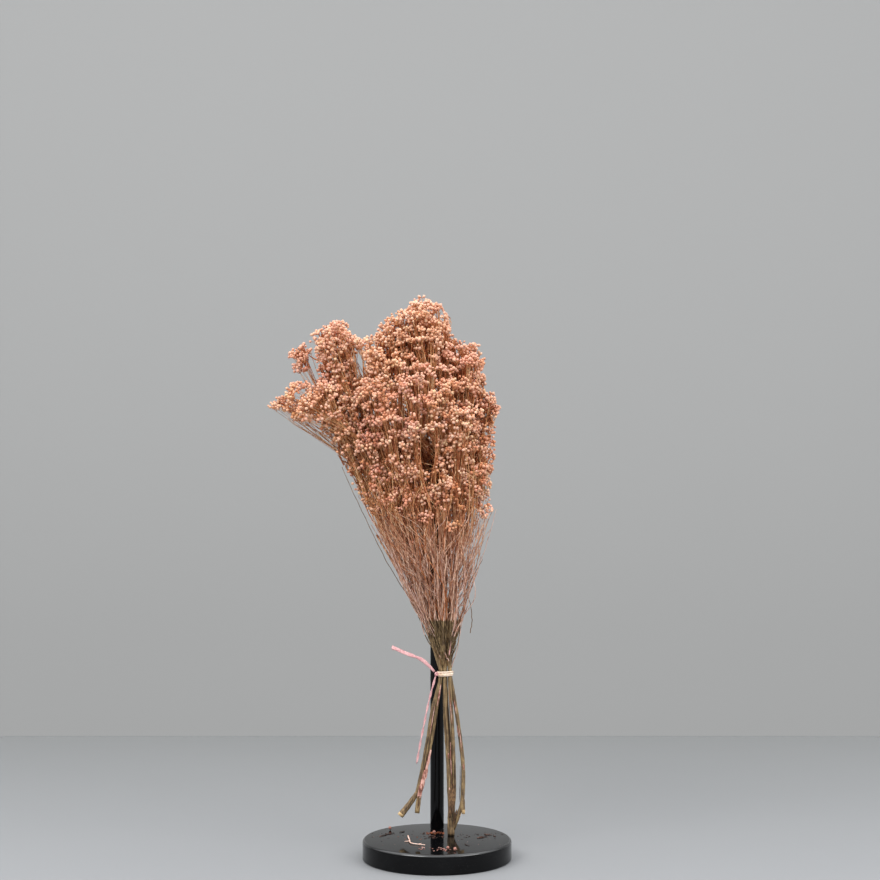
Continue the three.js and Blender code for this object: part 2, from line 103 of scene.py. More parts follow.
LOBES = [
    make_lobe(-22, 38, 442, 82, 72, 84),
    make_lobe(-10, 42, 520, 37, 40, 50),
    make_lobe(-52, 40, 488, 43, 46, 46),
    make_lobe(-102, 38, 505, 27, 28, 35),
    make_lobe(-139, 40, 505, 14, 14, 16),
    make_lobe(-116, 30, 455, 42, 38, 28),
    make_lobe(-156, 28, 450, 17, 16, 16),
    make_lobe(22, 40, 488, 28, 38, 40),
    make_lobe(50, 34, 452, 17, 18, 24),
    make_lobe(-6, 34, 392, 60, 58, 50),
]
# The lobes that tufts and inner twigs fill, which also close the crown's hollows
FILLER_LOBES = LOBES + [
    make_lobe(36, 34, 396, 21, 42, 52),
    make_lobe(-109, 22, 527, 20, 20, 17),
    make_lobe(-40, 40, 530, 24, 27, 21),
    make_lobe(-62, 24, 392, 36, 34, 46),
    make_lobe(-91, 24, 414, 27, 27, 36),
]


# Random draws and paths

class Draws:
    """Random draws that come out the same on every run."""

    def __init__(self, seed):
        self.state = seed

    def __call__(self, low=0.0, high=1.0):
        self.state = (self.state * 1664525 + 1013904223) % 2 ** 32
        return low + (high - low) * self.state / 2 ** 32

    def turn(self):
        return self(0, 2 * math.pi)

    def direction(self):
        up = self(-1, 1)
        turn = self.turn()
        flat = math.sqrt(1 - up * up)
        return Vector((flat * math.cos(turn), flat * math.sin(turn), up))

    def one_of(self, options):
        return options[int(self() * len(options))]


def clamp(value, low, high):
    return max(low, min(high, value))


def curve_point(points, along):
    """A point on the smooth curve through some points, from 0 at its start to 1 at its end."""
    reach = (len(points) - 1) * along
    i = min(int(reach), len(points) - 2)
    weight = reach - i
    b, c = points[i], points[i + 1]
    a = points[i - 1] if i > 0 else 2 * b - c
    d = points[i + 2] if i + 2 < len(points) else 2 * c - b
    before, here, after = (max((q - p).length, 1e-6) ** 0.5 for p, q in ((a, b), (b, c), (c, d)))
    leave = ((b - a) / before - (c - a) / (before + here) + (c - b) / here) * here
    arrive = ((c - b) / here - (d - b) / (here + after) + (d - c) / after) * here
    bend = -3 * b + 3 * c - 2 * leave - arrive
    twist = 2 * b - 2 * c + leave + arrive
    return b + leave * weight + bend * weight ** 2 + twist * weight ** 3


def spaced(points, steps, samples=60):
    """Evenly spaced points along the smooth curve through some points."""
    points = [Vector(point) for point in points]
    fine = [curve_point(points, i / samples) for i in range(samples + 1)]
    reached = [0]
    for p, q in zip(fine, fine[1:]):
        reached.append(reached[-1] + (q - p).length)
    result = []
    i = 0
    for step in range(steps + 1):
        target = reached[-1] * step / steps
        while i < samples - 1 and reached[i + 1] < target:
            i += 1
        part = (target - reached[i]) / max(reached[i + 1] - reached[i], 1e-9)
        result.append(curve_point(points, clamp((i + part) / samples, 0, 1)))
    return result


def on_route(route, along):
    """A point on a route of straight steps, from 0 at its start to 1 at its end."""
    reach = along * (len(route) - 1)
    i = min(int(reach), len(route) - 2)
    return route[i].lerp(route[i + 1], reach - i)


# Meshes

def frames_along(points, closed=False):
    """A turned frame at each point of a path, carried along it without sudden twists."""
    count = len(points)
    side = None
    frames = []
    for i, at in enumerate(points):
        if closed:
            tangent = points[(i + 1) % count] - points[i - 1]
        else:
            tangent = points[min(i + 1, count - 1)] - points[max(i - 1, 0)]
        tangent.normalize()
        if side is None:
            side = Vector((0, 0, 1)) if abs(tangent.z) < 0.5 else Vector((0, -1, 0))
        side = (side - tangent * side.dot(tangent)).normalized()
        frames.append((at, side.copy(), tangent.cross(side), tangent))
    return frames


def ring_matrix(place, width, depth, twist):
    """Carries a circle of radius 1 to one ring of a swept form."""
    at, side, across, tangent = place
    turned = side * math.cos(twist) + across * math.sin(twist)
    beside = tangent.cross(turned)
    columns = [value * width for value in turned], [value * depth for value in beside], tangent, at
    return Matrix([[column[row] for column in columns] for row in range(3)] + [(0, 0, 0, 1)])


def tint(faces, finish):
    """Gives faces one of the finishes of their piece, by its place in the list."""
    for face in faces:
        face.material_index = finish


def sweep(bm, points, widths, depths=None, sides=12, twist=0.0, closed=False, shape=None, ends=0):
    """Carries a round or oval section along a path, ring by ring, and closes its ends."""
    depths = depths or widths
    places = frames_along(points, closed)
    start = ring = bmesh.ops.create_circle(bm, segments=sides, radius=1.0)["verts"]
    if shape:
        for vert in start:
            vert.co *= shape(math.atan2(vert.co.y, vert.co.x))
    first_edges = edges = list({edge for vert in start for edge in vert.link_edges})
    matrix = ring_matrix(places[0], widths[0], depths[0], 0)
    bmesh.ops.transform(bm, matrix=matrix, verts=start)
    for i in range(1, len(points)):
        grown = bmesh.ops.extrude_edge_only(bm, edges=edges)["geom"]
        ring = [item for item in grown if isinstance(item, bmesh.types.BMVert)]
        edges = [item for item in grown if isinstance(item, bmesh.types.BMEdge)]
        edges = [edge for edge in edges if set(ring).issuperset(edge.verts)]
        following = ring_matrix(places[i], widths[i], depths[i], twist * i / (len(points) - 1))
        bmesh.ops.transform(bm, matrix=following @ matrix.inverted(), verts=ring)
        matrix = following
    if closed:
        bmesh.ops.bridge_loops(bm, edges=first_edges + edges)
        return
    for cap in (start, ring):
        rim = {edge for vert in cap for edge in vert.link_edges if edge.other_vert(vert) in cap}
        tint(bmesh.ops.contextual_create(bm, geom=list(rim))["faces"], ends)


def add_object(name, data):
    piece = bpy.data.objects.new(name, data)
    bpy.context.scene.collection.objects.link(piece)
    return piece


def finish_mesh(name, bm, finishes, smooth=True):
    """Turns a mesh in millimetres into a finished object in metres."""
    bmesh.ops.recalc_face_normals(bm, faces=bm.faces)
    bmesh.ops.scale(bm, vec=(MM, MM, MM), verts=bm.verts)
    for face in bm.faces:
        face.smooth = smooth
    mesh = bpy.data.meshes.new(name)
    bm.to_mesh(mesh)
    bm.free()
    for finish in finishes:
        mesh.materials.append(finish)
    return add_object(name, mesh)


def place_piece(piece, slot, *nodes):
    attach(piece, "root")
    if nodes:
        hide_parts(*nodes)


def spun(bm, profile, centre, steps):
    """Spins a half outline, given as radius and height, round an upright axis."""
    verts = [bm.verts.new((centre[0] + radius, centre[1], height)) for radius, height in profile]
    edges = [bm.edges.new(pair) for pair in zip(verts, verts[1:])]
    bmesh.ops.spin(bm, geom=verts + edges, cent=(centre[0], centre[1], 0), axis=(0, 0, 1),
                   angle=2 * math.pi, steps=steps, use_merge=True, use_duplicate=False)
    bmesh.ops.remove_doubles(bm, verts=bm.verts, dist=1e-4)


def rounded_corner(radius, height, reach, steps):
    """The quarter round at the top outer corner of a spun outline."""
    turns = [math.pi / 2 * i / steps for i in range(steps + 1)]
    return [(radius - reach + reach * math.cos(t), height - reach + reach * math.sin(t)) for t in turns]


# Finishes

# The colours of each finish, from its darkest to its lightest places
STOPS = {
    "bark": [(0.0, "2c2014"), (0.3, "5c4831"), (0.55, "806847"), (0.8, "9b825a"), (1.0, "b8a27a")],
    "cut wood": [(0.0, "9c7b52"), (0.5, "cfae7c"), (1.0, "e6cda0")],
    "peeled bark": [(0.0, "4f2b1b"), (0.36, "935c4b"), (0.55, "cc998b"), (1.0, "e8c6b8")],
    "rough bark": [(0.0, "1e120a"), (0.4, "4c331e"), (0.75, "7a5a39"), (1.0, "b08a63")],
    # Dark cracks, and painted shade in the gaps between stems
    "bark cracks and shade": [(0.0, "180f08"), (0.5, "352314"), (1.0, "6b4c2e")],
    "bark fuzz": [(0.0, "33200f"), (0.4, "5f4325"), (0.75, "8a683f"), (1.0, "b99063")],
    "peeled strip": [(0.0, "8a5044"), (0.3, "d39c90"), (0.7, "ebc2b6"), (1.0, "f6dcd0")],
    "dyed": [(0.0, "6c3a28"), (0.3, "a87256"), (0.6, "d3a488"), (1.0, "f3d8c8")],
    "crown": [(0.0, "6c2e14"), (0.35, "a65e38"), (0.7, "d18c5c"), (1.0, "ecbb90")],
    "brown": [(0.0, "6c2e10"), (0.35, "a4582c"), (0.7, "cc8452"), (1.0, "e4ae80")],
    "pale": [(0.0, "a06a58"), (0.3, "cf9f8c"), (0.65, "e6c0b0"), (1.0, "f7ded2")],
    "tan": [(0.0, "9a6a4c"), (0.3, "c9987a"), (0.65, "e0b99e"), (1.0, "f4dccb")],
    "golden": [(0.0, "864c20"), (0.35, "c4844e"), (0.7, "e2b07e"), (1.0, "f4d2a8")],
    "dyed pods": [(0.0, "b4683f"), (0.2, "e0a07e"), (0.42, "efba9e"), (0.68, "f3cdb8"), (1.0, "f2d4aa")],
    "cream raffia": [(0.0, "b08768"), (0.35, "e0c0a4"), (0.7, "f3dfca"), (1.0, "fbf3e6")],
    "pink raffia": [(0.0, "a26668"), (0.4, "d2989a"), (0.75, "e4b2b0"), (1.0, "f2d4ce")],
    "fallen twig bark": [(0.0, "8a5c4c"), (0.3, "cfa592"), (0.7, "e8cabb"), (1.0, "f6e2d6")],
    "fallen pods": [(0.0, "4a2a22"), (0.4, "8f5d50"), (0.7, "b98577"), (1.0, "e9cfc6")],
    "dark crumbs": [(0.0, "0c0705"), (0.5, "2f1b12"), (0.8, "5a3626"), (1.0, "8a5f4c")],
    "orange crumbs": [(0.0, "3a1606"), (0.4, "843c1c"), (0.75, "ba6f42"), (1.0, "e0a97c")],
    "pink crumbs": [(0.0, "6a3c32"), (0.4, "b07568"), (0.75, "d8aca0"), (1.0, "f3ddd3")],
}


def colour(code):
    """A colour written as in a paint chart, made linear."""
    parts = [int(code[i:i + 2], 16) / 255 for i in (0, 2, 4)]
    return [p / 12.92 if p <= 0.04045 else ((p + 0.055) / 1.055) ** 2.4 for p in parts] + [1]


class Wiring:
    """Places and joins shader nodes in one node tree. Colours are given by their codes."""

    def __init__(self, tree):
        self.tree = tree

    def feed(self, node, socket, value):
        if isinstance(value, bpy.types.NodeSocket):
            self.tree.links.new(value, node.inputs[socket])
        else:
            node.inputs[socket].default_value = colour(value) if isinstance(value, str) else value

    def node(self, kind, values=None, **settings):
        """A new node with its settings, and with values by the name or the number of the socket."""
        node = self.tree.nodes.new(kind)
        for key, value in settings.items():
            setattr(node, key, value)
        for socket, value in (values or {}).items():
            self.feed(node, socket, value)
        return node

    def place(self):
        return self.node("ShaderNodeTexCoord").outputs["Object"]

    def split(self, vector):
        return self.node("ShaderNodeSeparateXYZ", {0: vector}).outputs

    def mix(self, share, first, second):
        return self.node("ShaderNodeMix", {0: share, 6: first, 7: second}, data_type="RGBA").outputs[2]

    def number(self, operation, *values):
        return self.node("ShaderNodeMath", dict(enumerate(values)), operation=operation).outputs[0]

    def times(self, first, second):
        return self.number("MULTIPLY", first, second)

    def plus(self, first, second):
        return self.number("ADD", first, second)

    def blend(self, first, first_share, second, second_share):
        return self.plus(self.times(first, first_share), self.times(second, second_share))

    def span(self, *values):
        """Maps a value: what it goes from and to, and what it comes out from and to, if not 0 and 1."""
        return self.node("ShaderNodeMapRange", dict(enumerate(values))).outputs[0]

    def ramp(self, value, stops):
        node = self.node("ShaderNodeValToRGB", {0: value})
        elements = node.color_ramp.elements
        while len(elements) < len(STOPS[stops]):
            elements.new(0.5)
        for element, (place, code) in zip(elements, STOPS[stops]):
            element.position = place
            element.color = colour(code)
        return node.outputs[0]

    def noise(self, vector, scale, detail=2.0, roughness=0.5):
        values = {"Vector": vector, "Scale": scale, "Detail": detail, "Roughness": roughness}
        return self.node("ShaderNodeTexNoise", values).outputs[0]

    def effect(self, name, **values):
        """A shared effect, as a node group that is made when it is first used."""
        group = bpy.data.node_groups.get(name)
        if group is None:
            inputs, outputs, build = EFFECTS[name]
            group = bpy.data.node_groups.new(name, "ShaderNodeTree")
            for label in inputs + outputs:
                way = "INPUT" if label in inputs else "OUTPUT"
                group.interface.new_socket(label, in_out=way, socket_type="NodeSocketFloat")
            inside = Wiring(group)
            results = build(inside, inside.node("NodeGroupInput").outputs)
            inside.node("NodeGroupOutput", results)
        return self.node("ShaderNodeGroup", values, node_tree=group).outputs


def build_mottle(w, inputs):
    """Soft patches."""
    place = w.place()
    broad = w.noise(place, inputs["Scale"], 3)
    fine = w.noise(place, w.times(inputs["Scale"], 7.3), 2)
    low = w.number("SUBTRACT", 0.5, inputs["Spread"])
    high = w.plus(0.5, inputs["Spread"])
    return {"Mask": w.span(w.blend(broad, 0.65, fine, 0.35), low, high)}


def build_fibres(w, inputs):
    """Long upright streaks."""
    stretch = w.node("ShaderNodeCombineXYZ", {0: inputs["Across"], 1: inputs["Across"], 2: inputs["Along"]})
    scaled = w.node("ShaderNodeVectorMath", {0: w.place(), 1: stretch.outputs[0]}, operation="MULTIPLY")
    strands = w.noise(scaled.outputs[0], 1.0, 4, 0.6)
    return {"Streaks": w.span(strands, 0.32, 0.68), "Height": strands}


def build_dust(w, inputs):
    """Specks of dust, and a haze of finer dust."""
    place = w.place()
    scale = inputs["Scale"]
    cells = w.node("ShaderNodeTexVoronoi", {"Vector": place, "Scale": scale})
    size = w.times(w.noise(place, w.times(scale, 0.11), 2), inputs["Size"])
    specks = w.span(cells.outputs["Distance"], size, w.times(size, 0.5))
    haze = w.span(w.noise(place, w.times(scale, 0.035), 4, 0.6), 0.45, 0.75)
    return {"Specks": specks, "Haze": haze}


# What goes into each shared effect, what comes out of it, and what builds it
EFFECTS = {
    "Mottle": (["Scale", "Spread"], ["Mask"], build_mottle),
    "Fibres": (["Across", "Along"], ["Streaks", "Height"], build_fibres),
    "Dust": (["Scale", "Size"], ["Specks", "Haze"], build_dust),
}


class Finish(Wiring):
    """A material with one surface shader; its fixed values are set on the shader itself."""

    def __init__(self, name, **constants):
        self.material = bpy.data.materials.new(name)
        self.material.use_nodes = True
        super().__init__(self.material.node_tree)
        self.shader = self.tree.nodes["Principled BSDF"]
        for label, value in constants.items():
            self.feed(self.shader, label.replace("_", " "), value)

    def made(self, base, rough=None, height=None, strength=1.0, distance=0.001):
        """Joins the colour, the roughness and the bumps to the shader."""
        self.feed(self.shader, "Base Color", base)
        if rough is not None:
            self.feed(self.shader, "Roughness", rough)
        if height is not None:
            bump = self.node("ShaderNodeBump", {"Strength": strength, "Distance": distance, "Height": height})
            self.feed(self.shader, "Normal", bump.outputs[0])
        return self.material


def lacquer_finish(name, paint, dust_amount, shine=0.165, coat=0.0, dullest=0.12):
    """Glossy lacquer with fine dust and faint smears."""
    f = Finish(name, Specular_IOR_Level=shine, Coat_Weight=coat)
    dust = f.effect("Dust", Scale=700.0, Size=0.22)
    smears = f.effect("Mottle", Scale=22.0, Spread=0.2)
    base = f.mix(f.times(dust["Specks"], dust_amount), paint, "8a857e")
    base = f.mix(f.times(dust["Haze"], 0.05 * dust_amount), base, "8d8f92")
    return f.made(base, f.span(smears["Mask"], 0, 1, 0.05, dullest))


def steel_finish(name):
    """Brushed screw steel."""
    f = Finish(name, Metallic=1.0)
    lines = f.effect("Fibres", Across=500.0, Along=5000.0)
    return f.made(f.mix(lines["Streaks"], "8a8b8d", "b5b6b8"), f.span(lines["Height"], 0, 1, 0.25, 0.5))


def bark_finish(name, across=700.0, along=45.0, depth=0.0006):
    """Dry bark: long streaks, blotches and cracks."""
    f = Finish(name)
    grain = f.effect("Fibres", Across=across, Along=along)
    blotch = f.effect("Mottle", Scale=110.0, Spread=0.16)["Mask"]
    base = f.ramp(f.blend(grain["Streaks"], 0.6, blotch, 0.4), name)
    rough = f.span(grain["Height"], 0.2, 0.8, 0.55, 0.9)
    return f.made(base, rough, f.plus(grain["Height"], f.times(blotch, 0.3)), 0.8, depth)


def twig_finish(name, fan, crown, line=DYE_LINE * MM):
    """Wiry twigs: plain bark up to the line that the dye reached, and dyed in the fan and the crown above."""
    f = Finish(name, Roughness=0.7)
    grain = f.effect("Fibres", Across=620.0, Along=35.0)
    bark, low, high = (f.ramp(grain["Streaks"], stops) for stops in ("bark", fan, crown))
    place = f.place()
    ragged = f.plus(f.split(place)[2], f.times(f.noise(place, 220, 2), 0.008))
    dye = f.mix(f.span(ragged, 0.29, 0.36), low, high)
    base = f.mix(f.span(ragged, line + 0.007, line + 0.0085), bark, dye)
    return f.made(base, None, grain["Height"], 0.5, 0.0002)


def raffia_finish(name, across=500.0, along=2600.0):
    """Dry raffia: thin parallel fibres with a slight sheen."""
    f = Finish(name, Sheen_Weight=0.2, Sheen_Roughness=0.4)
    fibres = f.effect("Fibres", Across=across, Along=along)
    worn = f.effect("Mottle", Scale=160.0, Spread=0.2)["Mask"]
    base = f.ramp(f.blend(fibres["Streaks"], 0.55, worn, 0.45), name)
    return f.made(base, f.span(fibres["Height"], 0.2, 0.8, 0.5, 0.8), fibres["Height"], 0.6, 0.0003)


def pod_finish(name, props):
    """Dyed pods with their own tones and uneven dye, and a painted highlight that lightens the crown's top.
    """
    f = Finish(name, Specular_IOR_Level=0.12)
    base = f.ramp(f.node("ShaderNodeAttribute", attribute_name="tone").outputs["Fac"], name)
    for scale, spread, patch in ((26.0, 0.13, props.golden_pods), (17.0, 0.1, props.rose_pods)):
        base = f.mix(f.times(f.effect("Mottle", Scale=scale, Spread=spread)["Mask"], 0.42), base, patch)
    # Painted highlight: pods high in the crown are mixed towards a lighter colour, standing in for the light
    # from above.
    base = f.mix(f.span(f.split(f.place())[2], 0.45, 0.55, 0.0, 0.4), base, props.painted_top_highlight)
    fine = f.effect("Mottle", Scale=900.0, Spread=0.2)["Mask"]
    base = f.mix(f.times(fine, 0.25), base, "a85a38")
    return f.made(base, f.span(fine, 0, 1, 0.65, 0.85), fine, 0.35, 0.0003)


def ground_finish(name, low, high, scale, far=None):
    """Paint in broad clouds of two close tones, and, if given, a painted shade of a third tone towards the
    back.
    """
    f = Finish(name)
    cloud = f.effect("Mottle", Scale=scale, Spread=0.4)["Mask"]
    base = f.mix(cloud, low, high)
    # Painted shade: the colour darkens towards the back, where less light reaches.
    if far:
        base = f.mix(f.span(f.split(f.place())[1], -0.25, 0.75), base, far)
    return f.made(base, f.span(cloud, 0, 1, 0.55, 0.7))


# The bunch's growth

def opening(height):
    """How far apart the leans have spread the bunch at a height."""
    rise = height - TIE_CENTRE.z
    return rise * (0.74 + 0.26 * clamp(rise / 140, 0, 1))


def spread_point(lean, height):
    reach = opening(height)
    return Vector((TIE_CENTRE.x + lean.x * reach, TIE_CENTRE.y + lean.y * reach, height))


def lean_of(place):
    reach = opening(place.z)
    return Vector(((place.x - TIE_CENTRE.x) / reach, (place.y - TIE_CENTRE.y) / reach))


def nearest_spray(lean):
    return min(SPRAYS, key=lambda name: (SPRAYS[name] - lean).length)


def nearest_head(place):
    return min(HEADS, key=lambda head: (head["place"] - place).length)


def from_post(place):
    """How far a place is from the post's middle line."""
    return math.hypot(place.x, place.y - POST_Y)


def bend_round_post(place, berth=4.5):
    """A stem that would run into the post bends round it."""
    if place.z > POST_TOP + 30:
        return place
    away = Vector((place.x, place.y - POST_Y))
    nearest = POST_RADIUS + berth
    if away.length >= nearest:
        return place
    away = away.normalized() * nearest
    return Vector((away.x, POST_Y + away.y, place.z))


def stretched(out, reach):
    return Vector((out.x * reach.x, out.y * reach.y, out.z * reach.z))


def depth_in_lobe(place, lobe):
    """How far out a place is in a lobe, from 0 in its middle to 1 on its outside."""
    centre, reach = lobe
    away = place - centre
    return Vector((away.x / reach.x, away.y / reach.y, away.z / reach.z)).length


def depth(place, lobes=FILLER_LOBES):
    """How far out a place is in the lobe that it is deepest in."""
    return min(depth_in_lobe(place, lobe) for lobe in lobes)


# The heads' rule is the one that the solids grew by, so its numbers and draws are the same
THROWS = 9000
LOWEST_HEAD = 345
HEADS_APART = 24
LARGEST_HEAD = 21
SMALLEST_HEAD = 7.5
GROWTH_STEPS = 12


def throw_heads():
    """Heads are thrown over the outsides of the lobes and keep apart from each other."""
    draw = Draws(20731)
    heads = []
    for _ in range(THROWS):
        lobe = draw.one_of(LOBES)
        centre, reach = lobe
        small = reach.x < 20
        seat = 0.25 if small else 0.84 - 0.1 * draw()
        shallowest = 0.6 if small else 0.74
        place = centre + seat * stretched(draw.direction(), reach)
        buried = any(depth_in_lobe(place, other) < shallowest for other in LOBES if other is not lobe)
        before_post_top = place.y < POST_Y and abs(place.x + 8) < 21.5 and abs(place.z - 407) < 20
        crowded = any((head["place"] - place).length < HEADS_APART for head in heads)
        if place.z < LOWEST_HEAD or buried or before_post_top or crowded:
            continue
        heads.append({"place": place, "spray": nearest_spray(lean_of(place)), "fork": draw()})
        draw.turn()  # turns a solid head, and is drawn here only to keep the order
    return heads


def fork_height(head):
    """The height at which a head's twig leaves its spray's main stem."""
    return DYE_LINE + 8 + (head["place"].z - DYE_LINE) * 0.5 * head["fork"]


def leading_points(head):
    """The points of a twig that leaves its spray's main stem low down and curves out to its head."""
    target = lean_of(head["place"])
    start = fork_height(head)
    points = []
    for along in (0, 0.25, 0.5, 0.75, 1):
        lean = SPRAYS[head["spray"]].lerp(target, along ** 0.7)
        points.append(bend_round_post(spread_point(lean, start + (head["place"].z - start) * along)))
    return points


def side_points(head, leaders):
    """The points of a twig that leaves a leading twig at the nearest place it still rises from."""
    best = None
    for leader in leaders:
        for i in range(1, 20):
            start = on_route(leader["route"], i / 20)
            step = head["place"] - start
            nearer = best is None or step.length < best[1]
            if nearer and step.z > 1.1 * math.hypot(step.x, step.y):
                best = (start, step.length)
    if best is None:
        return None
    middle = best[0].lerp(head["place"], 0.5)
    middle.z -= 0.06 * best[1]
    return [best[0], middle, head["place"]]


def add_twig(head, points, steps):
    """Gives a head its twig, and tells whether the twig keeps clear of the post."""
    if points is None:
        return False
    head["route"] = spaced(points, steps, 200)
    checks = [on_route(head["route"], i / (5 * steps)) for i in range(5 * steps + 1)]
    return all(at.z > POST_TOP + 1 or from_post(at) > POST_RADIUS + 1.6 for at in checks)


def grow_twigs(thrown):
    """Heads with their twigs: leading twigs first, which the side twigs leave."""
    grown = []
    for spray in SPRAYS:
        own = [head for head in thrown if head["spray"] == spray]
        own.sort(key=lambda head: -(head["place"] - TIE_CENTRE).length)
        leaders = []
        for head in own:
            lean = lean_of(head["place"])
            apart = all((lean_of(other["place"]) - lean).length > 0.075 for other in leaders)
            if apart and add_twig(head, leading_points(head), 3):
                head["leader"] = True
                leaders.append(head)
        others = [head for head in own if not head.get("leader")]
        grown += leaders + [head for head in others if add_twig(head, side_points(head, leaders), 2)]
    return grown


def gap_to_route(place, route):
    nearest = 1e9
    for start, end in zip(route, route[1:]):
        span = end - start
        part = clamp((place - start).dot(span) / span.length_squared, 0, 1)
        nearest = min(nearest, (start + span * part - place).length)
    return nearest


def size_heads(heads):
    """A head grows until it nearly meets its neighbours, the post or a stem of another spray."""
    for head in heads:
        place = head["place"]
        others = [other["route"] for other in heads if other["spray"] != head["spray"]]
        room = [gap_to_route(place, route) - 1.3 for route in others]
        beside = from_post(place) - POST_RADIUS - 0.3
        head["room"] = min([LARGEST_HEAD, max(beside, place.z - POST_TOP - 0.3)] + room)
        head["radius"] = 0
    for step in range(1, GROWTH_STEPS + 1):
        for head in heads:
            limits = [LARGEST_HEAD * step / GROWTH_STEPS, head["room"]]
            for other in heads:
                if other is not head:
                    apart = (other["place"] - head["place"]).length
                    reach = 1.3 * apart if other["spray"] == head["spray"] else apart - 0.6
                    limits.append(reach - other["radius"])
            head["radius"] = max(head["radius"], min(limits))
    return [head for head in heads if head["radius"] >= SMALLEST_HEAD or head.get("leader")]


HEADS = size_heads(grow_twigs(throw_heads()))


class PodField:
    """Remembers where pods are, so that no two of them run into each other."""

    def __init__(self, spacing):
        self.spacing = spacing
        self.cells = {}

    def key(self, place):
        return tuple(math.floor(value / self.spacing) for value in place)

    def has_room(self, place):
        cells = itertools.product(*((value - 1, value, value + 1) for value in self.key(place)))
        others = (other for cell in cells for other in self.cells.get(cell, ()))
        return all((other - place).length >= self.spacing for other in others)

    def add(self, place):
        self.cells.setdefault(self.key(place), []).append(place)


# The crown's edges as seen from the front: height, and how far across
LEFT_EDGE = [(421, -121), (433, -140), (449, -151), (455, -172), (462, -172), (470, -157), (482, -146),
             (494, -148), (507, -153), (516, -151), (520, -140), (531, -125), (543, -104), (600, -95)]
RIGHT_EDGE = [(190, 25), (250, 31), (286, 39), (299, 42), (323, 52), (335, 58), (348, 57), (366, 53),
              (396, 59), (421, 59), (445, 61), (452, 65), (470, 65), (475, 50), (507, 48), (519, 44),
              (524, 20), (531, 14), (556, 9), (566, -8), (600, -16)]
# Gaps at the crown's left where the wall shows: middle, and half the width and height
GAPS = [(-79.5, 498, 6, 17), (-127.5, 500, 4.5, 25), (-139, 486, 21, 5.5)]
# Slits that wires are pushed out of: middle, lowest and highest, half the width, and how far back
OPENINGS = [(-9, 388, 430, 7.5, 56), (-4.9, 226, 302, 2.3, 200), (-29, 285, 304, 2.2, 200),
            (-18.4, 284, 304, 1.9, 200), (-13.8, 266, 287, 1.9, 200), (11.6, 241, 272, 1.7, 200),
            (-34.6, 317, 336, 2, 200), (-26.5, 309, 328, 1.8, 200), (24, 246, 300, 3.4, 200),
            (29, 300, 345, 2.4, 200), (-79.5, 484, 510, 3.8, 200)]


def edge_at(edge, height):
    for (low, first), (high, second) in zip(edge, edge[1:]):
        if height <= high:
            return first + (second - first) * clamp((height - low) / (high - low), 0, 1)
    return edge[-1][1]


def in_window(place):
    """The dark opening in front of the post's top."""
    return abs(place.x + 9) < 8 and 390 < place.z < 428 and place.y < POST_Y


def in_gap(place):
    return any(abs(place.x - x) / wide + abs(place.z - z) / tall < 1.25 and abs(place.x - x) < wide
               and abs(place.z - z) < tall for x, z, wide, tall in GAPS)


def in_outline(place):
    """Whether a place is inside the bunch's own outline, seen from the front."""
    if place.x > edge_at(RIGHT_EDGE, place.z):
        return False
    if place.z > 525 and place.x > -80:
        return -73.5 + 1.05 * (place.z - 525) < place.x
    if place.z > 424:
        return place.z < 545 and edge_at(LEFT_EDGE, place.z) < place.x
    return -0.495 < lean_of(place).x


def allowed(place, margin):
    """Whether a pod may be here: in the sprays' box and outline, off the post, and not in a gap."""
    if not all(CROWN_LOW[i] + margin <= place[i] <= CROWN_HIGH[i] - margin for i in range(3)):
        return False
    if place.z < POST_TOP + margin and from_post(place) < POST_RADIUS + margin:
        return False
    return in_outline(place) and not in_window(place) and not in_gap(place)


def dome_directions(axis, count, widest, draw):
    """Directions spread evenly over a cap round an axis."""
    side = axis.orthogonal().normalized()
    across = axis.cross(side)
    lift = draw.turn()
    result = []
    for i in range(count):
        cosine = 1 - (1 - math.cos(widest)) * (i + 0.5) / count
        turn = lift + i * GOLDEN_TURN
        sine = math.sqrt(max(0, 1 - cosine * cosine))
        result.append((axis * cosine + (side * math.cos(turn) + across * math.sin(turn)) * sine).normalized())
    return result


def wire_route(place, spray, draw, crossing=0.0):
    """A long wire that starts among the stems above the tie and runs out to a place in the crown."""
    target = lean_of(place)
    wander = 12 if crossing else 7
    base = SPRAYS[spray].lerp(target, draw(0.4, 0.9))
    base.x = max(base.x, LEFTMOST_START)
    bend = 2.2
    knee = place.z
    if target.x < FAR_TIP:
        knee = min(place.z - 12, draw(376, 424))
        target.x = draw(FAR_TIP, -0.36)
    if target.x > 0.1:
        base.x = target.x + (draw(0.05, 0.2) if draw() < 0.2 else draw(-0.08, -0.02))
        bend = 0.8
    if crossing:
        base += Vector((draw(-crossing, crossing), draw(-crossing, crossing)))
        base.x = clamp(base.x, LEFTMOST_START, 0.36)
    low = draw(189, 204)
    berth = draw(1.5, 5)
    points = []
    for along in (0, 0.2, 0.4, 0.6, 0.8, 1):
        lean = base.lerp(target, along ** bend)
        at = spread_point(lean, low + (knee - low) * along)
        at += draw.direction() * wander * draw() * math.sin(math.pi * along)
        points.append(bend_round_post(at, berth))
    if knee < place.z:
        points.append(place)
    return spaced(points, 15)


def end_direction(route):
    return (route[-1] - route[-3]).normalized()


def short_route(path, steps):
    """A short wire's route, which keeps off the post."""
    return spaced([bend_round_post(at, 2) for at in path], steps)


def stray_twig(foot, lean, draw, stray, lengths, sway):
    """Which way a short bent twig goes, roughly along the bunch, and its four points."""
    up = Vector((lean.x, lean.y, 1)).normalized()
    way = (up + draw.direction() * stray).normalized() * draw(*lengths)
    bent = [foot + way * along + draw.direction() * sway for along in (0.35, 0.7)]
    return way, [foot, *bent, foot + way]


def height_on(route, height):
    """How far along a rising route a height is reached, from 0 to 1."""
    for i, at in enumerate(route):
        if at.z >= height:
            return max(i, 1) / (len(route) - 1)
    return 1.0


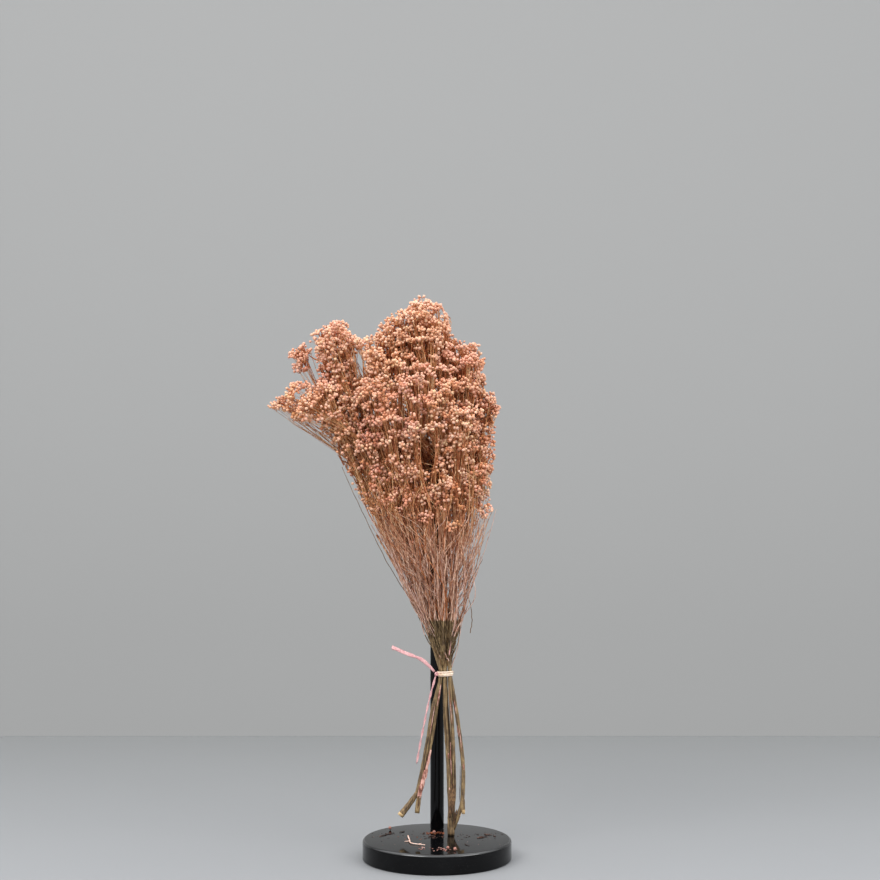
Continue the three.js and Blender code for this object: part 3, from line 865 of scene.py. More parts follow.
class SprayGrowth:
    """The wires and pods of one spray, in millimetres."""

    def __init__(self, name, field, props, seed):
        self.name = name
        self.field = field
        self.props = props
        self.draw = Draws(seed)
        self.half_pod = props.pod_size / MM / 2
        self.half_wire = props.wire_thickness / MM / 2
        self.half_stalk = props.stalk_thickness / MM / 2
        self.wires = []
        self.pods = []

    def add_wire(self, route, thick_end, thin_end):
        """A tapered wire, kept in the sprays' box and out of the slits, in one of the tones."""
        last = len(route) - 1
        radii = [thick_end + (thin_end - thick_end) * i / last for i in range(last + 1)]
        low = (CROWN_LOW.x, CROWN_LOW.y, TIE_CENTRE.z)
        route = [Vector([clamp(at[i], low[i] + 1, CROWN_HIGH[i] - 1) for i in range(3)]) for at in route]
        for at in route:
            for x, low_z, high_z, wide, back in OPENINGS:
                if low_z < at.z < high_z and abs(at.x - x) < wide and at.y < back:
                    at.x = x + math.copysign(wide, at.x - x)
        tones = (0, 0, 1, 2, 3, 3, 3)
        if route[0].z < DYE_LINE - 5:
            at_side = abs(lean_of(route[3]).x + 0.04) > 0.25
            tones = (3, 0, 1, 0, 0) if at_side else (0, 0, 0, 2)
        self.wires.append((route, radii, self.draw.one_of(tones)))

    def add_tuft(self, node, growth, reach, count, widest=1.2):
        """A small umbel: stalks fan out from one node and each one carries a pod. Tells how many grew."""
        draw = self.draw
        before = len(self.pods)
        bias = draw(-0.3, 0.3)
        for out in dome_directions(growth, round(count * draw(0.6, 1.2)), widest, draw):
            out = (out + draw.direction() * 0.35).normalized()
            place = node + out * reach * draw(0.5, 1.2)
            lean = lean_of(place).x
            sparse = place.z < 440 and lean < -0.4 and draw() < 6 * (-0.36 - lean)
            if sparse or not allowed(place, self.half_pod) or not self.field.has_room(place):
                continue
            self.field.add(place)
            self.add_wire([node, place], self.half_stalk, self.half_stalk * 0.8)
            tone = clamp(0.5 + bias + draw(-0.35, 0.35), 0.02, 0.98)
            self.pods.append((place, (place - node).normalized(), self.half_pod * draw(0.62, 1.16), tone))
        return len(self.pods) - before

    def add_branch(self, route, node):
        """A finer wire that parts from a longer one and ends in a tuft's node."""
        draw = self.draw
        thick = self.half_wire * (0.65 if lean_of(node).x < FAR_LEFT else 1)
        end = height_on(route, node.z - 5)
        start = end * draw(0.42, 0.8)
        off = node - on_route(route, end)
        path = [on_route(route, start + (end - start) * i / 7) + off * (i / 7) ** 1.7 for i in range(7)]
        for i in range(1, 7):
            path[i] = bend_round_post(path[i] + draw.direction() * 0.9 * draw(), 2)
        path.append(node)
        self.add_wire(path, thick * 0.85, thick * 0.55)
        return path

    def add_head(self, head):
        """A head: one long wire, with tufts on branches all round its end."""
        draw = self.draw
        place, radius = head["place"], head["radius"]
        route = wire_route(place, self.name, draw)
        growth = end_direction(route)
        route[-1] = route[-1] - growth * 0.3 * radius
        head["wire"] = route
        thick = self.half_wire * (0.6 if lean_of(place).x < FAR_LEFT else 1)
        self.add_wire(route, thick * 1.7, thick * 0.7)
        tufts = max(3, round(self.props.tufts_per_head * (radius / 15) ** 2))
        for out in dome_directions(growth, tufts, 1.75, draw):
            reach = draw(3.8, 7.2)
            centre = place + out * max(radius * draw(0.8, 1.12) - reach * 0.8, radius * 0.35)
            aim = (out + growth * 1.2).normalized()
            node = centre - aim * reach * 0.55
            if not self.add_tuft(node, aim, reach, self.props.pods_per_tuft):
                continue
            path = self.add_branch(route, node)
            if draw() < self.props.low_tufts:
                low = on_route(path, draw(0.72, 0.9))
                self.add_tuft(low, (aim + draw.direction() * 0.7).normalized(), draw(4.5, 6.5), 6)

    def add_filler(self, centre, head):
        """A tuft between the heads, on a branch of the nearest head's wire."""
        reach = self.draw(5, 7.5)
        aim = (centre - Vector((-20, 38, 420))).normalized()
        aim = (aim + end_direction(head["wire"])).normalized()
        node = centre - aim * reach * 0.6
        if self.add_tuft(node, aim, reach, self.props.pods_per_tuft):
            self.add_branch(head["wire"], node)

    def add_bare_wire(self, place, pods):
        """A wire without a head. It has a few thin twigs and may end in a small tuft."""
        draw = self.draw
        thick = self.half_wire
        route = wire_route(place, self.name, draw, 0.2)
        self.add_wire(route, thick * draw(0.8, 1.5), thick * 0.5)
        growth = end_direction(route)
        if pods:
            self.add_tuft(route[-1], growth, draw(4, 6.5), pods)
        for _ in range(4):
            foot = on_route(route, draw(0.3, 0.85))
            way = (growth + draw.direction() * 0.5).normalized() * draw(14, 42)
            path = [foot, foot + way * 0.5 + draw.direction() * 1.5, foot + way]
            if in_outline(path[-1]):
                self.add_wire(short_route(path, 4), thick * 0.62, thick * 0.4)
                if draw() < 0.4 and path[-1].z > 350:
                    self.add_tuft(path[-1], growth, 3.5, 4)


# Tufts at places that no thrown one comes near
EXTRA_TUFTS = [Vector(place) for place in (
    (3, -12, 394), (6, -7, 385), (2, -6, 404), (-14, -14, 341), (-8, -12, 346), (14, -10, 334), (50, 18, 352),
    (48, 14, 345), (61, 30, 404), (-2, -13, 372), (9, -9, 362), (-38, -12, 352), (-30, -14, 362),
    (56, 30, 430), (57, 30, 418), (56, 28, 406), (55, 26, 392), (-143, 36, 492), (-20, 38, 561),
    (-15, 36, 555))]


def throw_tufts(spacing):
    """Tufts are thrown over the crown's outside, where no head's middle is near."""
    draw = Draws(777)
    places = PodField(spacing)
    tufts = []
    for _ in range(THROWS):
        centre, reach = draw.one_of(FILLER_LOBES)
        out = draw.direction()
        place = centre + draw(0.7, 0.95) * stretched(out, reach)
        if depth(place) < 0.7 or place.z < 338 or not places.has_room(place):
            continue
        head = nearest_head(place)
        if (head["place"] - place).length < head["radius"] * 0.55:
            continue
        places.add(place)
        tufts.append((place, head))
    return tufts + [(place, nearest_head(place)) for place in EXTRA_TUFTS]


def add_thicket(growths, count):
    """Short bent twigs all over the fan below the crown."""
    draw = Draws(606)
    for _ in range(count):
        height = draw(268, 392)
        turn = draw.turn()
        reach = draw(0.55, 0.98)
        lean = Vector((-0.1 + 0.36 * math.cos(turn) * reach, 0.04 + 0.27 * math.sin(turn) * reach))
        way, path = stray_twig(spread_point(lean, height), lean, draw, 0.55, (12, 34), 2)
        if all(in_outline(at) for at in path):
            growth = growths[nearest_spray(lean)]
            growth.add_wire(short_route(path, 5), 0.3, 0.18)
            if draw() < 0.12:
                growth.add_tuft(path[-1], way.normalized(), 3.5, 4)


def add_core(growths, count):
    """Dark side twigs inside the crown, so that the wall hardly shows through it."""
    draw = Draws(818)
    for _ in range(count):
        centre, reach = draw.one_of(FILLER_LOBES)
        foot = centre + stretched(draw.direction() * draw() ** 0.4 * 0.8, reach)
        foot.y = max(foot.y, 34 + draw(0, 14))
        lean = lean_of(foot)
        path = stray_twig(foot, lean, draw, 0.75, (16, 40), 3)[1]
        if all(depth(at) < 0.82 and in_outline(at) and not in_gap(at) and not in_window(at) for at in path):
            radii = [draw(0.6, 1.1)] * 4 + [0.35]
            growths[nearest_spray(lean)].wires.append((short_route(path, 4), radii, draw.one_of((2, 2, 0))))


def throw_bare_wires(count):
    """Ends of wires without a head, which fill the fan between the dye line and the crown."""
    draw = Draws(4242)
    ends = []
    for i in range(count):
        lean = Vector((draw(-0.45, 0.17), draw(-0.24, 0.36)))
        height = draw(330, 400) if i % 2 else draw(400, 500)
        if i % 3 == 0:
            lean.y = draw(-0.26, -0.15)
        if i % 6 == 1:
            lean.x = draw(-0.44, -0.33)
        if i % 16 == 0:
            lean.x, height = draw(0.23, 0.31), draw(300, 362)
        pods = int(draw(3, 9)) if i % 4 == 0 and height > 345 else 0
        place = spread_point(lean, height)
        inside = depth(place, LOBES) < (1.0 if i % 3 == 0 else 0.85)
        if inside or (height < 400 and in_outline(place)):
            ends.append((place, nearest_spray(lean), pods))
    return ends


def wires_curve(name, wires, finishes):
    """All the wires of a spray as one curve, each with its own taper and one of the tones."""
    curve = bpy.data.curves.new(name, "CURVE")
    curve.dimensions = "3D"
    curve.bevel_depth = MM
    curve.bevel_resolution = 0
    curve.use_fill_caps = True
    for finish in finishes:
        curve.materials.append(finish)
    for points, radii, tone in wires:
        spline = curve.splines.new("POLY")
        spline.material_index = tone
        spline.points.add(len(points) - 1)
        flat = [value for p in points for value in (p.x * MM, p.y * MM, p.z * MM, 1)]
        spline.points.foreach_set("co", flat)
        spline.points.foreach_set("radius", radii)
    return add_object(name, curve)


def pod_pattern():
    """One pod: three blunt lobes round its tip, and a narrow foot."""
    bm = bmesh.new()
    bmesh.ops.create_uvsphere(bm, u_segments=6, v_segments=5, radius=1.0)
    for vert in bm.verts:
        height = vert.co.z
        if height > 0.9:
            vert.co.z = 1.12
        elif height < -0.9:
            vert.co.z = -1.1
        else:
            lobe = math.cos(3 * math.atan2(vert.co.y, vert.co.x))
            vert.co.xy *= 1.04 + 0.16 * lobe if height > 0 else 0.96 + 0.06 * lobe
    bmesh.ops.recalc_face_normals(bm, faces=bm.faces)
    mesh = bpy.data.meshes.new("pod_pattern")
    bm.to_mesh(mesh)
    bm.free()
    mesh.attributes.new("tone", "FLOAT", "POINT")
    for polygon in mesh.polygons:
        polygon.use_smooth = True
    return mesh


def pods_mesh(name, pods, finish):
    """Every pod of a spray, copied from one pattern into one mesh."""
    pattern = pod_pattern()
    bm = bmesh.new()
    for place, aim, size, tone in pods:
        pod = pattern.copy()
        pod.attributes["tone"].data.foreach_set("value", [tone] * len(pod.vertices))
        turn = Vector((0, 0, 1)).rotation_difference(aim)
        pod.transform(Matrix.Translation(place * MM) @ turn.to_matrix().to_4x4() @ Matrix.Scale(size * MM, 4))
        bm.from_mesh(pod)
        bpy.data.meshes.remove(pod)
    mesh = bpy.data.meshes.new(name)
    bm.to_mesh(mesh)
    bm.free()
    bpy.data.meshes.remove(pattern)
    mesh.materials.append(finish)
    return add_object(name, mesh)


# The undyed stems

# Each stem's column and row in the tie, the sprays that it feeds, and its route up to the tie
WOODY_STEMS = {
    "woody_left": [((-1, -0.5), ("spray_far_left", "spray_left_front"), [(-20.5, 15.7, 61.5),
            (-18.2, 17, 70), (-14, 18.5, 90), (-9, 20, 117), (-3.8, 21.3, 149), (2.4, 22, 172)]),
        ((-1, 0.5), ("spray_upper_left", "spray_back_left"), [(-20.2, 12.5, 43), (-19.2, 13.5, 52),
            (-17.4, 15.8, 64), (-14.8, 18, 76), (-10.8, 20.6, 94), (-5.6, 22.8, 118), (-0.6, 24.8, 149),
            (3, 26.3, 172)]),
    ],
    "woody_right": [((0, -0.5), ("spray_front", "spray_top"), [(12.7, 16.2, 24), (12.9, 16.5, 34),
            (13.4, 17, 46), (12.4, 18, 64), (11.4, 19.5, 94), (8.9, 21, 135), (8.1, 22, 170)]),
        ((1, -0.5), ("spray_front_right",), [(15.6, 16.2, 24), (15.7, 16.5, 34), (16.2, 17, 46),
            (17.4, 18, 64), (16.9, 19.5, 94), (15.1, 21, 135), (13, 22, 170)]),
        ((1, 0.5), ("spray_right",), [(16.4, 16.3, 26), (21.4, 17, 38.5), (25.2, 18, 52),
            (26.5, 19.5, 70), (26.4, 20.5, 90), (24.4, 22, 110), (20.4, 24.4, 139), (15.2, 26.4, 170)]),
        ((0, 0.5), ("spray_back_right",), [(14.5, 17.6, 28), (14.6, 19, 44), (14.3, 22, 64),
            (13.5, 24, 94), (10.8, 26, 135), (8.8, 26.6, 170)]),
    ],
}
# Cut and broken ends: the route, and half the thickness at its foot and its end
WOODY_ENDS = {
    "woody_left": [([(-20, 15.9, 63), (-28.5, 14.8, 51), (-37.5, 14, 40)], (2.2, 3.3))],
    "woody_right": [
        ([(26.1, 18.6, 56), (26.6, 18, 48), (26.9, 17.6, 41)], (2.3, 1.5)),
        ([(14.2, 16, DISC_TOP + 0.3), (14.2, 16, 28), (14.6, 17.6, 40), (14.9, 19.6, 58)], (3.8, 2.0)),
    ],
}
BARK, CUT, PEELED, ROUGH, CRACK_AND_SHADE = range(5)
# Strips of peeled and rough bark, cracks, and painted shade in gaps between stems: which finish, half the
# width, and the route
BARK_STRIPS = {
    "woody_left": [
        (PEELED, 1.9, [(-6.2, 19.6, 106), (-9.6, 18, 92), (-12.9, 15.6, 78), (-15.4, 13.6, 68),
            (-17.2, 12, 58)]),
        (PEELED, 1.5, [(-12.4, 15.4, 86), (-14.6, 14.1, 76), (-17.6, 13, 66), (-19.4, 12.4, 59)]),
        (PEELED, 1.7, [(-14.2, 13.6, 75), (-15.6, 12.6, 70), (-16.4, 12.2, 66)]),
        (PEELED, 0.7, [(3.8, 20.6, 172), (1.6, 20.4, 158), (-0.2, 20.2, 150)]),
        (ROUGH, 0.9, [(-19.2, 12.4, 60), (-18.8, 11.8, 54), (-19.6, 11.3, 47)]),
        # Painted shade: the dark line in the gap between the two left stems
        (CRACK_AND_SHADE, 0.45, [(-1.6, 20.5, 151), (-6.8, 19.1, 118), (-11.7, 17.3, 92), (-15.6, 15.5, 73)]),
        (CRACK_AND_SHADE, 0.35, [(-8.6, 17.9, 120), (-11.4, 17, 106), (-14.8, 16.2, 86)]),
        (CRACK_AND_SHADE, 0.35, [(-24, 12.9, 58), (-30, 12.2, 49), (-35, 11.8, 43)]),
        (PEELED, 0.4, [(-2.4, 19.2, 150), (-5.4, 18.6, 132), (-7.2, 18, 122)]),
    ],
    "woody_right": [
        (PEELED, 0.7, [(11.5, 17.6, 103), (11.8, 17.4, 97)]),
        (PEELED, 0.8, [(12.6, 16.2, 68), (13, 16, 60)]),
        (PEELED, 0.6, [(20.3, 22.2, 131), (21.2, 21.6, 124), (22.2, 21, 119)]),
        (PEELED, 0.7, [(17.2, 24, 158), (18.3, 23.2, 150), (19.6, 22.8, 142)]),
        (PEELED, 0.6, [(26.8, 18, 92), (27.2, 17.7, 86)]),
        (ROUGH, 1.8, [(12.6, 15.9, 66), (13.2, 14.8, 56), (13.4, 13.6, 46), (12.8, 12.2, 38)]),
        (ROUGH, 1.7, [(17.2, 15.8, 72), (16.8, 14.9, 60), (16, 13.6, 50), (15.2, 12.2, 42)]),
        (ROUGH, 1.1, [(20.2, 15.1, 46), (18.4, 14, 40), (16.8, 12.9, 32)]),
        (ROUGH, 1.2, [(14.9, 17.3, 84), (14.9, 16.6, 74), (14.8, 15.4, 62), (14.6, 13.6, 48)]),
        # Painted shade: the dark line in the gap between the two front stems
        (CRACK_AND_SHADE, 0.5, [(10.4, 21.1, 160), (12, 20.4, 135), (14, 18.2, 96), (14.8, 17, 66)]),
        (CRACK_AND_SHADE, 0.35, [(17.8, 16.2, 100), (18.2, 16, 78), (18, 15.4, 60)]),
        (CRACK_AND_SHADE, 0.4, [(23.6, 17.6, 90), (23.4, 17.2, 70), (22.6, 16.4, 54)]),
        (CRACK_AND_SHADE, 0.4, [(11.6, 12.3, 44), (12.4, 12.2, 34), (12.8, 12.3, 28)]),
        (CRACK_AND_SHADE, 0.4, [(15.6, 12.2, 46), (15.2, 12.2, 36), (15.4, 12.4, 29)]),
        (CRACK_AND_SHADE, 0.3, [(7.2, 18.9, 150), (8.8, 18.2, 128), (10.4, 17.2, 104)]),
        (PEELED, 0.45, [(13.5, 16.2, 114), (14, 15.7, 96), (14.6, 15.5, 80)]),
        (PEELED, 0.35, [(12.4, 19.7, 166), (14, 19, 146), (15.2, 18.4, 132)]),
        (PEELED, 0.4, [(22.6, 19.8, 128), (24.2, 18.6, 114), (25.2, 18, 104)]),
    ],
}


def knobbly(radii, draw, amount):
    """Radii with the small swellings and dents of a dry stem."""
    return [radius * (1 + draw(-amount, amount)) for radius in radii]


def main_stem_points(name):
    """A spray's main stem, from the dye line to a little above its highest fork."""
    leaders = [head for head in HEADS if head["spray"] == name and head.get("leader")]
    top = max(fork_height(head) for head in leaders) + 6
    heights = [DYE_LINE + 0.3 + (top - DYE_LINE) * i / 4 for i in range(5)]
    return [bend_round_post(spread_point(SPRAYS[name], height)) for height in heights]


def woody_stem(bm, points, radii, draw, sides=12, ends=CUT):
    """A stem that isn't quite round, with the swellings of dry wood."""
    route = spaced(points, max(6, 5 * (len(points) - 1)))
    count = len(route) - 1
    widths = [radii[0] + (radii[1] - radii[0]) * i / count for i in range(count + 1)]
    phase = draw(0, 6.28)

    def uneven(turn):
        return 1 + 0.07 * math.cos(2 * turn + phase) + 0.05 * math.cos(5 * turn + phase)

    sweep(bm, route, knobbly(widths, draw, 0.07), sides=sides, shape=uneven, ends=ends, twist=0.6)


# The raffia tails

UPPER_TAIL = [(-2.7, 18.9, 185.4), (-8.6, 18.5, 191.8), (-16, 18, 198), (-32.7, 17, 204.8), (-45.9, 16, 211)]
LOWER_TAIL = [(-1.6, 18.9, 180.4), (-5.6, 18.2, 166), (-9.4, 17.5, 150.8), (-12.5, 17, 135.5),
              (-16.6, 16.5, 115), (-20.7, 16, 92.7)]


# The small bits

# Crumbs on the disc: middle, spread, how many, half their size, and which finish (dark, orange or pink)
CRUMBS = [
    (-2, 24, 5, 22, 1.0, 1), (-6, 4, 7, 16, 0.8, 0), (-44, 26, 18, 14, 0.5, 0), (44, 8, 12, 16, 0.8, 0),
    (50, 22, 10, 8, 0.6, 0), (-50, 6, 14, 9, 0.6, 0), (-20, 2, 10, 8, 0.5, 1), (8, -53, 6, 14, 0.9, 2),
    (-6, -46, 6, 10, 0.8, 2), (0, 0, 32, 30, 0.35, 0), (0, 0, 32, 22, 0.3, 2), (20, 4, 8, 12, 0.5, 0),
]
# Short threads on the disc, by their middles
THREADS = [(47, 8), (52, 17), (44, 2), (-55, 12), (-36, 30), (-14, 24), (30, -30), (-48, 22), (-6, 8)]
# Loose wires and rods low in the fan: half the thickness, which finish (bark fuzz, loose or tan twigs),
# and the route
LOOSE_WIRES = [
    (0.42, 0, [(-96, 6, 394), (-79, 5, 356), (-62, 4, 320), (-43, 8, 284), (-26.5, 14, 258),
        (-7, 17, 225), (0.6, 19, 207), (4.6, 21, 189)]),
    (0.36, 1, [(-76, 0, 360), (-57, 1, 324), (-44, 2, 300), (-34, 8, 272), (-19, 13, 246), (-4, 17, 220),
        (3, 19, 200)]),
    (0.42, 1, [(60, 24, 350), (52, 22, 320), (42, 24, 289), (33.5, 25, 268), (25.4, 25, 235),
        (20.3, 25, 207), (14.5, 25, 189)]),
    (0.35, 0, [(36, 8, 300), (32.5, 14, 280), (24.4, 17, 245), (13, 18.2, 213), (9.6, 18.4, 200)]),
    (0.4, 0, [(46, 16, 300), (30.5, 19, 266), (33, 18, 258), (35.4, 17, 239), (34, 16.6, 225)]),
    (0.4, 1, [(-2.6, -4, 308), (6, -1, 298), (13, 4, 286), (16, 9, 270)]),
    (0.35, 1, [(-14, 1, 297), (-8, 2, 287), (-3.5, 6, 280), (1, 11, 266)]),
    (0.4, 1, [(2.6, 17.4, 213), (7, 17.2, 206), (12, 18, 196)]),
    (0.35, 0, [(-30, 0, 322), (-8, 0, 300), (8, 6, 268), (14, 14, 238)]),
    (0.35, 1, [(30, 2, 346), (20, -2, 318), (6, 2, 286), (-2, 12, 256)]),
    (0.3, 0, [(-36, 6, 300), (-20, 4, 290), (-4, 4, 268), (4, 12, 242)]),
    (0.42, 2, [(-39.7, -15, 348), (-19.4, -12, 336), (-4, -6, 312), (12.2, 1, 290), (14.2, 7, 270)]),
    (0.4, 2, [(-7.2, -4, 313), (0, -4, 315.6), (6, -2, 310.5), (11.8, 1, 297), (13, 6, 276)]),
    (0.5, 1, [(-48.9, 10, 314), (-35.7, 12, 283.6), (-22.4, 14, 258), (-13.3, 16, 241), (-6.2, 17, 223.6)]),
    (0.38, 2, [(36, -6, 352), (24, -8, 330), (4, -4, 306), (-10, 3, 284)]),
    (0.36, 2, [(-50, -8, 350), (-36, -10, 338), (-14, -6, 318), (2, 0, 292)]),
    (0.34, 1, [(10, -12, 344), (-6, -9, 322), (-14, -2, 296), (-12, 6, 270)]),
    (0.4, 2, [(-30, -12, 346), (-22, -8, 318), (-19, 0, 290), (-14, 8, 262)]),
    (0.36, 1, [(46, 8, 350), (36, 6, 326), (20, 6, 300), (16, 10, 276)]),
    (1.15, 2, [(0.6, -9, 312), (0.4, -1, 280), (1.6, 8, 252), (2.4, 12, 236), (4.4, 17.4, 206)]),
    (1.1, 2, [(10, -8, 306), (7.4, -1, 280), (5.2, 8, 254), (4.6, 12, 236), (5.6, 17.2, 206)]),
    (1.05, 2, [(21, -5, 310), (18.6, 2, 284), (15.4, 9, 256), (13.6, 12.4, 236), (11.6, 17.6, 206)]),
    (1.0, 2, [(-12, -7, 314), (-8.6, 0, 284), (-4.6, 8, 256), (-2.2, 12, 236), (2, 17.6, 206)]),
    (0.9, 2, [(-33, -5, 310), (-25.4, 1, 286), (-15.6, 8, 258), (-8.4, 12, 236), (-0.4, 17.6, 208)]),
    (0.8, 2, [(30, -1, 312), (26.4, 4, 290), (21.4, 10, 262), (17.4, 13.4, 238), (13.4, 18, 208)]),
]


# Settings

def length_setting(name, description, default):
    return bpy.props.FloatProperty(
        name=name, description=description, default=default, subtype="DISTANCE", unit="LENGTH")


def colour_setting(name, description, code):
    return bpy.props.FloatVectorProperty(
        name=name, description=description, default=colour(code), size=4, min=0.0, max=1.0, subtype="COLOR")


class BloomSettings(bpy.types.PropertyGroup):
    """Sizes of the bunch's small parts, and colours of the pods and the stand."""

    pod_size: length_setting("Pod size", "How wide one pod is", 0.0033)
    pods_per_tuft: bpy.props.IntProperty(
        name="Pods per tuft", description="How many stalks fan out from one node", default=16)
    tufts_per_head: bpy.props.FloatProperty(
        name="Tufts per head", description="How many tufts a head of middle size has", default=7.5)
    low_tufts: bpy.props.FloatProperty(
        name="Low tufts", description="The share of wires with a small tuft below the head", default=0.55,
        subtype="FACTOR")
    filler_spacing: length_setting("Filler spacing", "How far apart the tufts between the heads are", 0.0108)
    bare_wires: bpy.props.IntProperty(
        name="Bare wires", description="How many wires carry no head", default=270)
    thicket: bpy.props.IntProperty(
        name="Short twigs", description="How many short bent twigs the fan has", default=420)
    core_twigs: bpy.props.IntProperty(
        name="Core twigs", description="How many dark side twigs the inside of the crown has", default=3600)
    wire_thickness: length_setting("Wire thickness", "How thick a dyed wire is", 0.00095)
    stalk_thickness: length_setting("Stalk thickness", "How thick a pod's stalk is", 0.0005)
    golden_pods: colour_setting("Golden pods", "Colour of the pods where the dye took golden", "e8b26a")
    rose_pods: colour_setting("Rose pods", "Colour of the pods where the dye took rose", "dc9088")
    # Painted highlight: the lighter colour of the pods at the crown's top, standing in for the light from
    # above.
    painted_top_highlight: colour_setting("Painted top highlight", "Colour that the pods turn to at the crown's top", "f8d0b2")
    lacquer: colour_setting("Lacquer", "Colour of the stand's disc and post", "050506")


class StageSettings(bpy.types.PropertyGroup):
    """Levels of the studio light, and colours of the table and the wall."""

    key_power: bpy.props.FloatProperty(
        name="Key light", description="Power of the large soft light", default=46.0, unit="POWER")
    fill_power: bpy.props.FloatProperty(
        name="Fill light", description="Power of the opposite soft light", default=24.0, unit="POWER")
    room_light: bpy.props.FloatProperty(
        name="Room light", description="Strength of the light from overhead", default=2.7)
    room_dark: bpy.props.FloatProperty(
        name="Dark sides", description="Strength of the light from the room's dark sides", default=0.05)
    table_top: colour_setting("Table top", "Colour of the table's darker clouds", "858688")
    wall_paint: colour_setting("Wall paint", "Colour of the wall's darker clouds", "b3b3b2")


# The steps that make the pieces

class BloomOperator:
    """What the operators share."""

    bl_options = {"REGISTER", "UNDO"}


class BROOM_OT_camera(BloomOperator, bpy.types.Operator):
    """Sets the camera where the photograph was taken from"""

    bl_idname = "broom.camera"
    bl_label = "Camera"

    def execute(self, context):
        data = bpy.data.cameras.new("camera")
        data.lens = 75.15
        data.sensor_width = 36
        camera = add_object("camera", data)
        camera.location = (0.003, -1.849, 0.421)
        camera.rotation_euler = (math.pi / 2, 0, 0)
        context.scene.camera = camera
        return {"FINISHED"}


class BROOM_OT_tails(BloomOperator, bpy.types.Operator):
    """Makes the two free tails of the raffia tie"""

    bl_idname = "broom.tails"
    bl_label = "Raffia Tails"

    def execute(self, context):
        pink = raffia_finish("pink raffia", 900.0, 500.0)
        route = spaced(UPPER_TAIL, 30)
        bm = bmesh.new()
        folds = [math.exp(-((i - 14) / 1.6) ** 2) for i in range(31)]
        widths = [1.1 + 0.85 * min(1, i / 8) - 0.7 * fold for i, fold in enumerate(folds)]
        sweep(bm, route, [0.42 + 0.5 * fold for fold in folds], widths, sides=10, twist=0.7)
        prong = spaced([route[25], route[28] + Vector((0, 0.4, -1.3)), (-45.6, 16.4, 208.0)], 6)
        sweep(bm, prong, [0.4] * 7, [1.2, 1.3, 1.3, 1.2, 1.1, 1, 0.9], sides=8)
        tail = finish_mesh("upper_tail", bm, [pink])
        place_piece(tail, "pink_raffia", "tie_tail_upper")

        def two_lobed(turn):
            return 0.86 + 0.14 * math.cos(2 * turn)

        route = spaced(LOWER_TAIL, 36)
        bm = bmesh.new()
        sweep(bm, route, [1.2] * 37, [0.85] * 37, sides=12, twist=22, shape=two_lobed)
        tail = finish_mesh("lower_tail", bm, [pink])
        place_piece(tail, "pink_raffia", "tie_tail_lower")
        return {"FINISHED"}


class BROOM_OT_stand(BloomOperator, bpy.types.Operator):
    """Makes the glossy disc and post, and finishes the screw between them"""

    bl_idname = "broom.stand"
    bl_label = "Display Stand"

    def execute(self, context):
        paint = context.scene.bloom_settings.lacquer
        bm = bmesh.new()
        outline = [(0, 0), (DISC_RADIUS - 1, 0), (DISC_RADIUS, 1)]
        outline += rounded_corner(DISC_RADIUS, DISC_TOP, 3, 8) + [(0, DISC_TOP)]
        spun(bm, outline, (0, 0), 128)
        for face in bm.faces:
            at = face.calc_center_median()
            if math.hypot(at.x, at.y) > DISC_RADIUS - 2.6 and at.z > DISC_TOP - 2.6:
                face.material_index = 1
        rim = lacquer_finish("disc rim lacquer", paint, 0.0, shine=0.5, coat=0.35, dullest=0.34)
        disc = finish_mesh("disc", bm, [lacquer_finish("disc lacquer", paint, 0.25), rim])
        place_piece(disc, "disc_lacquer", "stand_disc")
        bm = bmesh.new()
        outline = [(0, POST_FOOT), (POST_RADIUS - 0.4, POST_FOOT), (POST_RADIUS, POST_FOOT + 0.4)]
        outline += [(POST_RADIUS, POST_FOOT + (POST_TOP - 7 - POST_FOOT) * i / 12) for i in range(1, 12)]
        dome = rounded_corner(POST_RADIUS, POST_TOP, POST_RADIUS, 10)
        dome[-1] = (0, POST_TOP)
        spun(bm, outline + dome, (0, POST_Y), 48)
        post = finish_mesh("post", bm, [lacquer_finish("post lacquer", paint, 0.03)])
        place_piece(post, "post_lacquer", "stand_post")
        for piece in (disc, post):
            piece.data.set_sharp_from_angle(angle=math.radians(40))
        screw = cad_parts["stand_screw"]
        screw.data.materials.clear()
        screw.data.materials.append(steel_finish("screw steel"))
        return {"FINISHED"}


class BROOM_OT_woody(BloomOperator, bpy.types.Operator):
    """Makes the undyed woody stems below the dye line, with their cut and broken ends"""

    bl_idname = "broom.woody"
    bl_label = "Woody Stems"

    def execute(self, context):
        finishes = [
            bark_finish("bark"),
            bark_finish("cut wood", 400.0, 400.0, 0.0002),
            bark_finish("peeled bark", 500.0, 120.0, 0.0004),
            bark_finish("rough bark", 900.0, 300.0, 0.0009),
            bark_finish("bark cracks and shade"),
        ]
        for name, stems in WOODY_STEMS.items():
            draw = Draws(len(name) * 77)
            bm = bmesh.new()
            for (column, row), feeds, lower in stems:
                slot = TIE_CENTRE + Vector((column * TIE_COLUMN, row * TIE_ROW, 0))
                crotch = Vector((slot.x, slot.y, CROTCH_HEIGHT + 3))
                woody_stem(bm, lower + [slot, crotch], (2.25, 1.95), draw)
                for spray in feeds:
                    above = main_stem_points(spray)
                    direction = (above[1] - above[0]).normalized()
                    start = Vector((slot.x, slot.y, CROTCH_HEIGHT))
                    below = above[0] - direction * 10
                    path = [start, start.lerp(below, 0.12), below, above[0] + direction * 1.5]
                    woody_stem(bm, path, (1.85, 1.8), draw, sides=10, ends=BARK)
            for points, radii in WOODY_ENDS[name]:
                woody_stem(bm, points, radii, draw)
                end = Vector(points[-1])
                if points[0][2] > 50:
                    tint([face for face in bm.faces if (face.calc_center_median() - end).length < 4.3], CUT)
            for finish, width, points in BARK_STRIPS[name]:
                widths = [width * (0.35 + 0.65 * math.sin(math.pi * (i + 0.6) / 17.2)) for i in range(17)]
                first = len(bm.faces)
                sweep(bm, spaced(points, 16), [0.5] * 17, knobbly(widths, draw, 0.25), sides=8)
                bm.faces.ensure_lookup_table()
                tint(bm.faces[first:], finish)
            piece = finish_mesh(name + "_stems", bm, finishes)
            place_piece(piece, "bark", name)
        return {"FINISHED"}


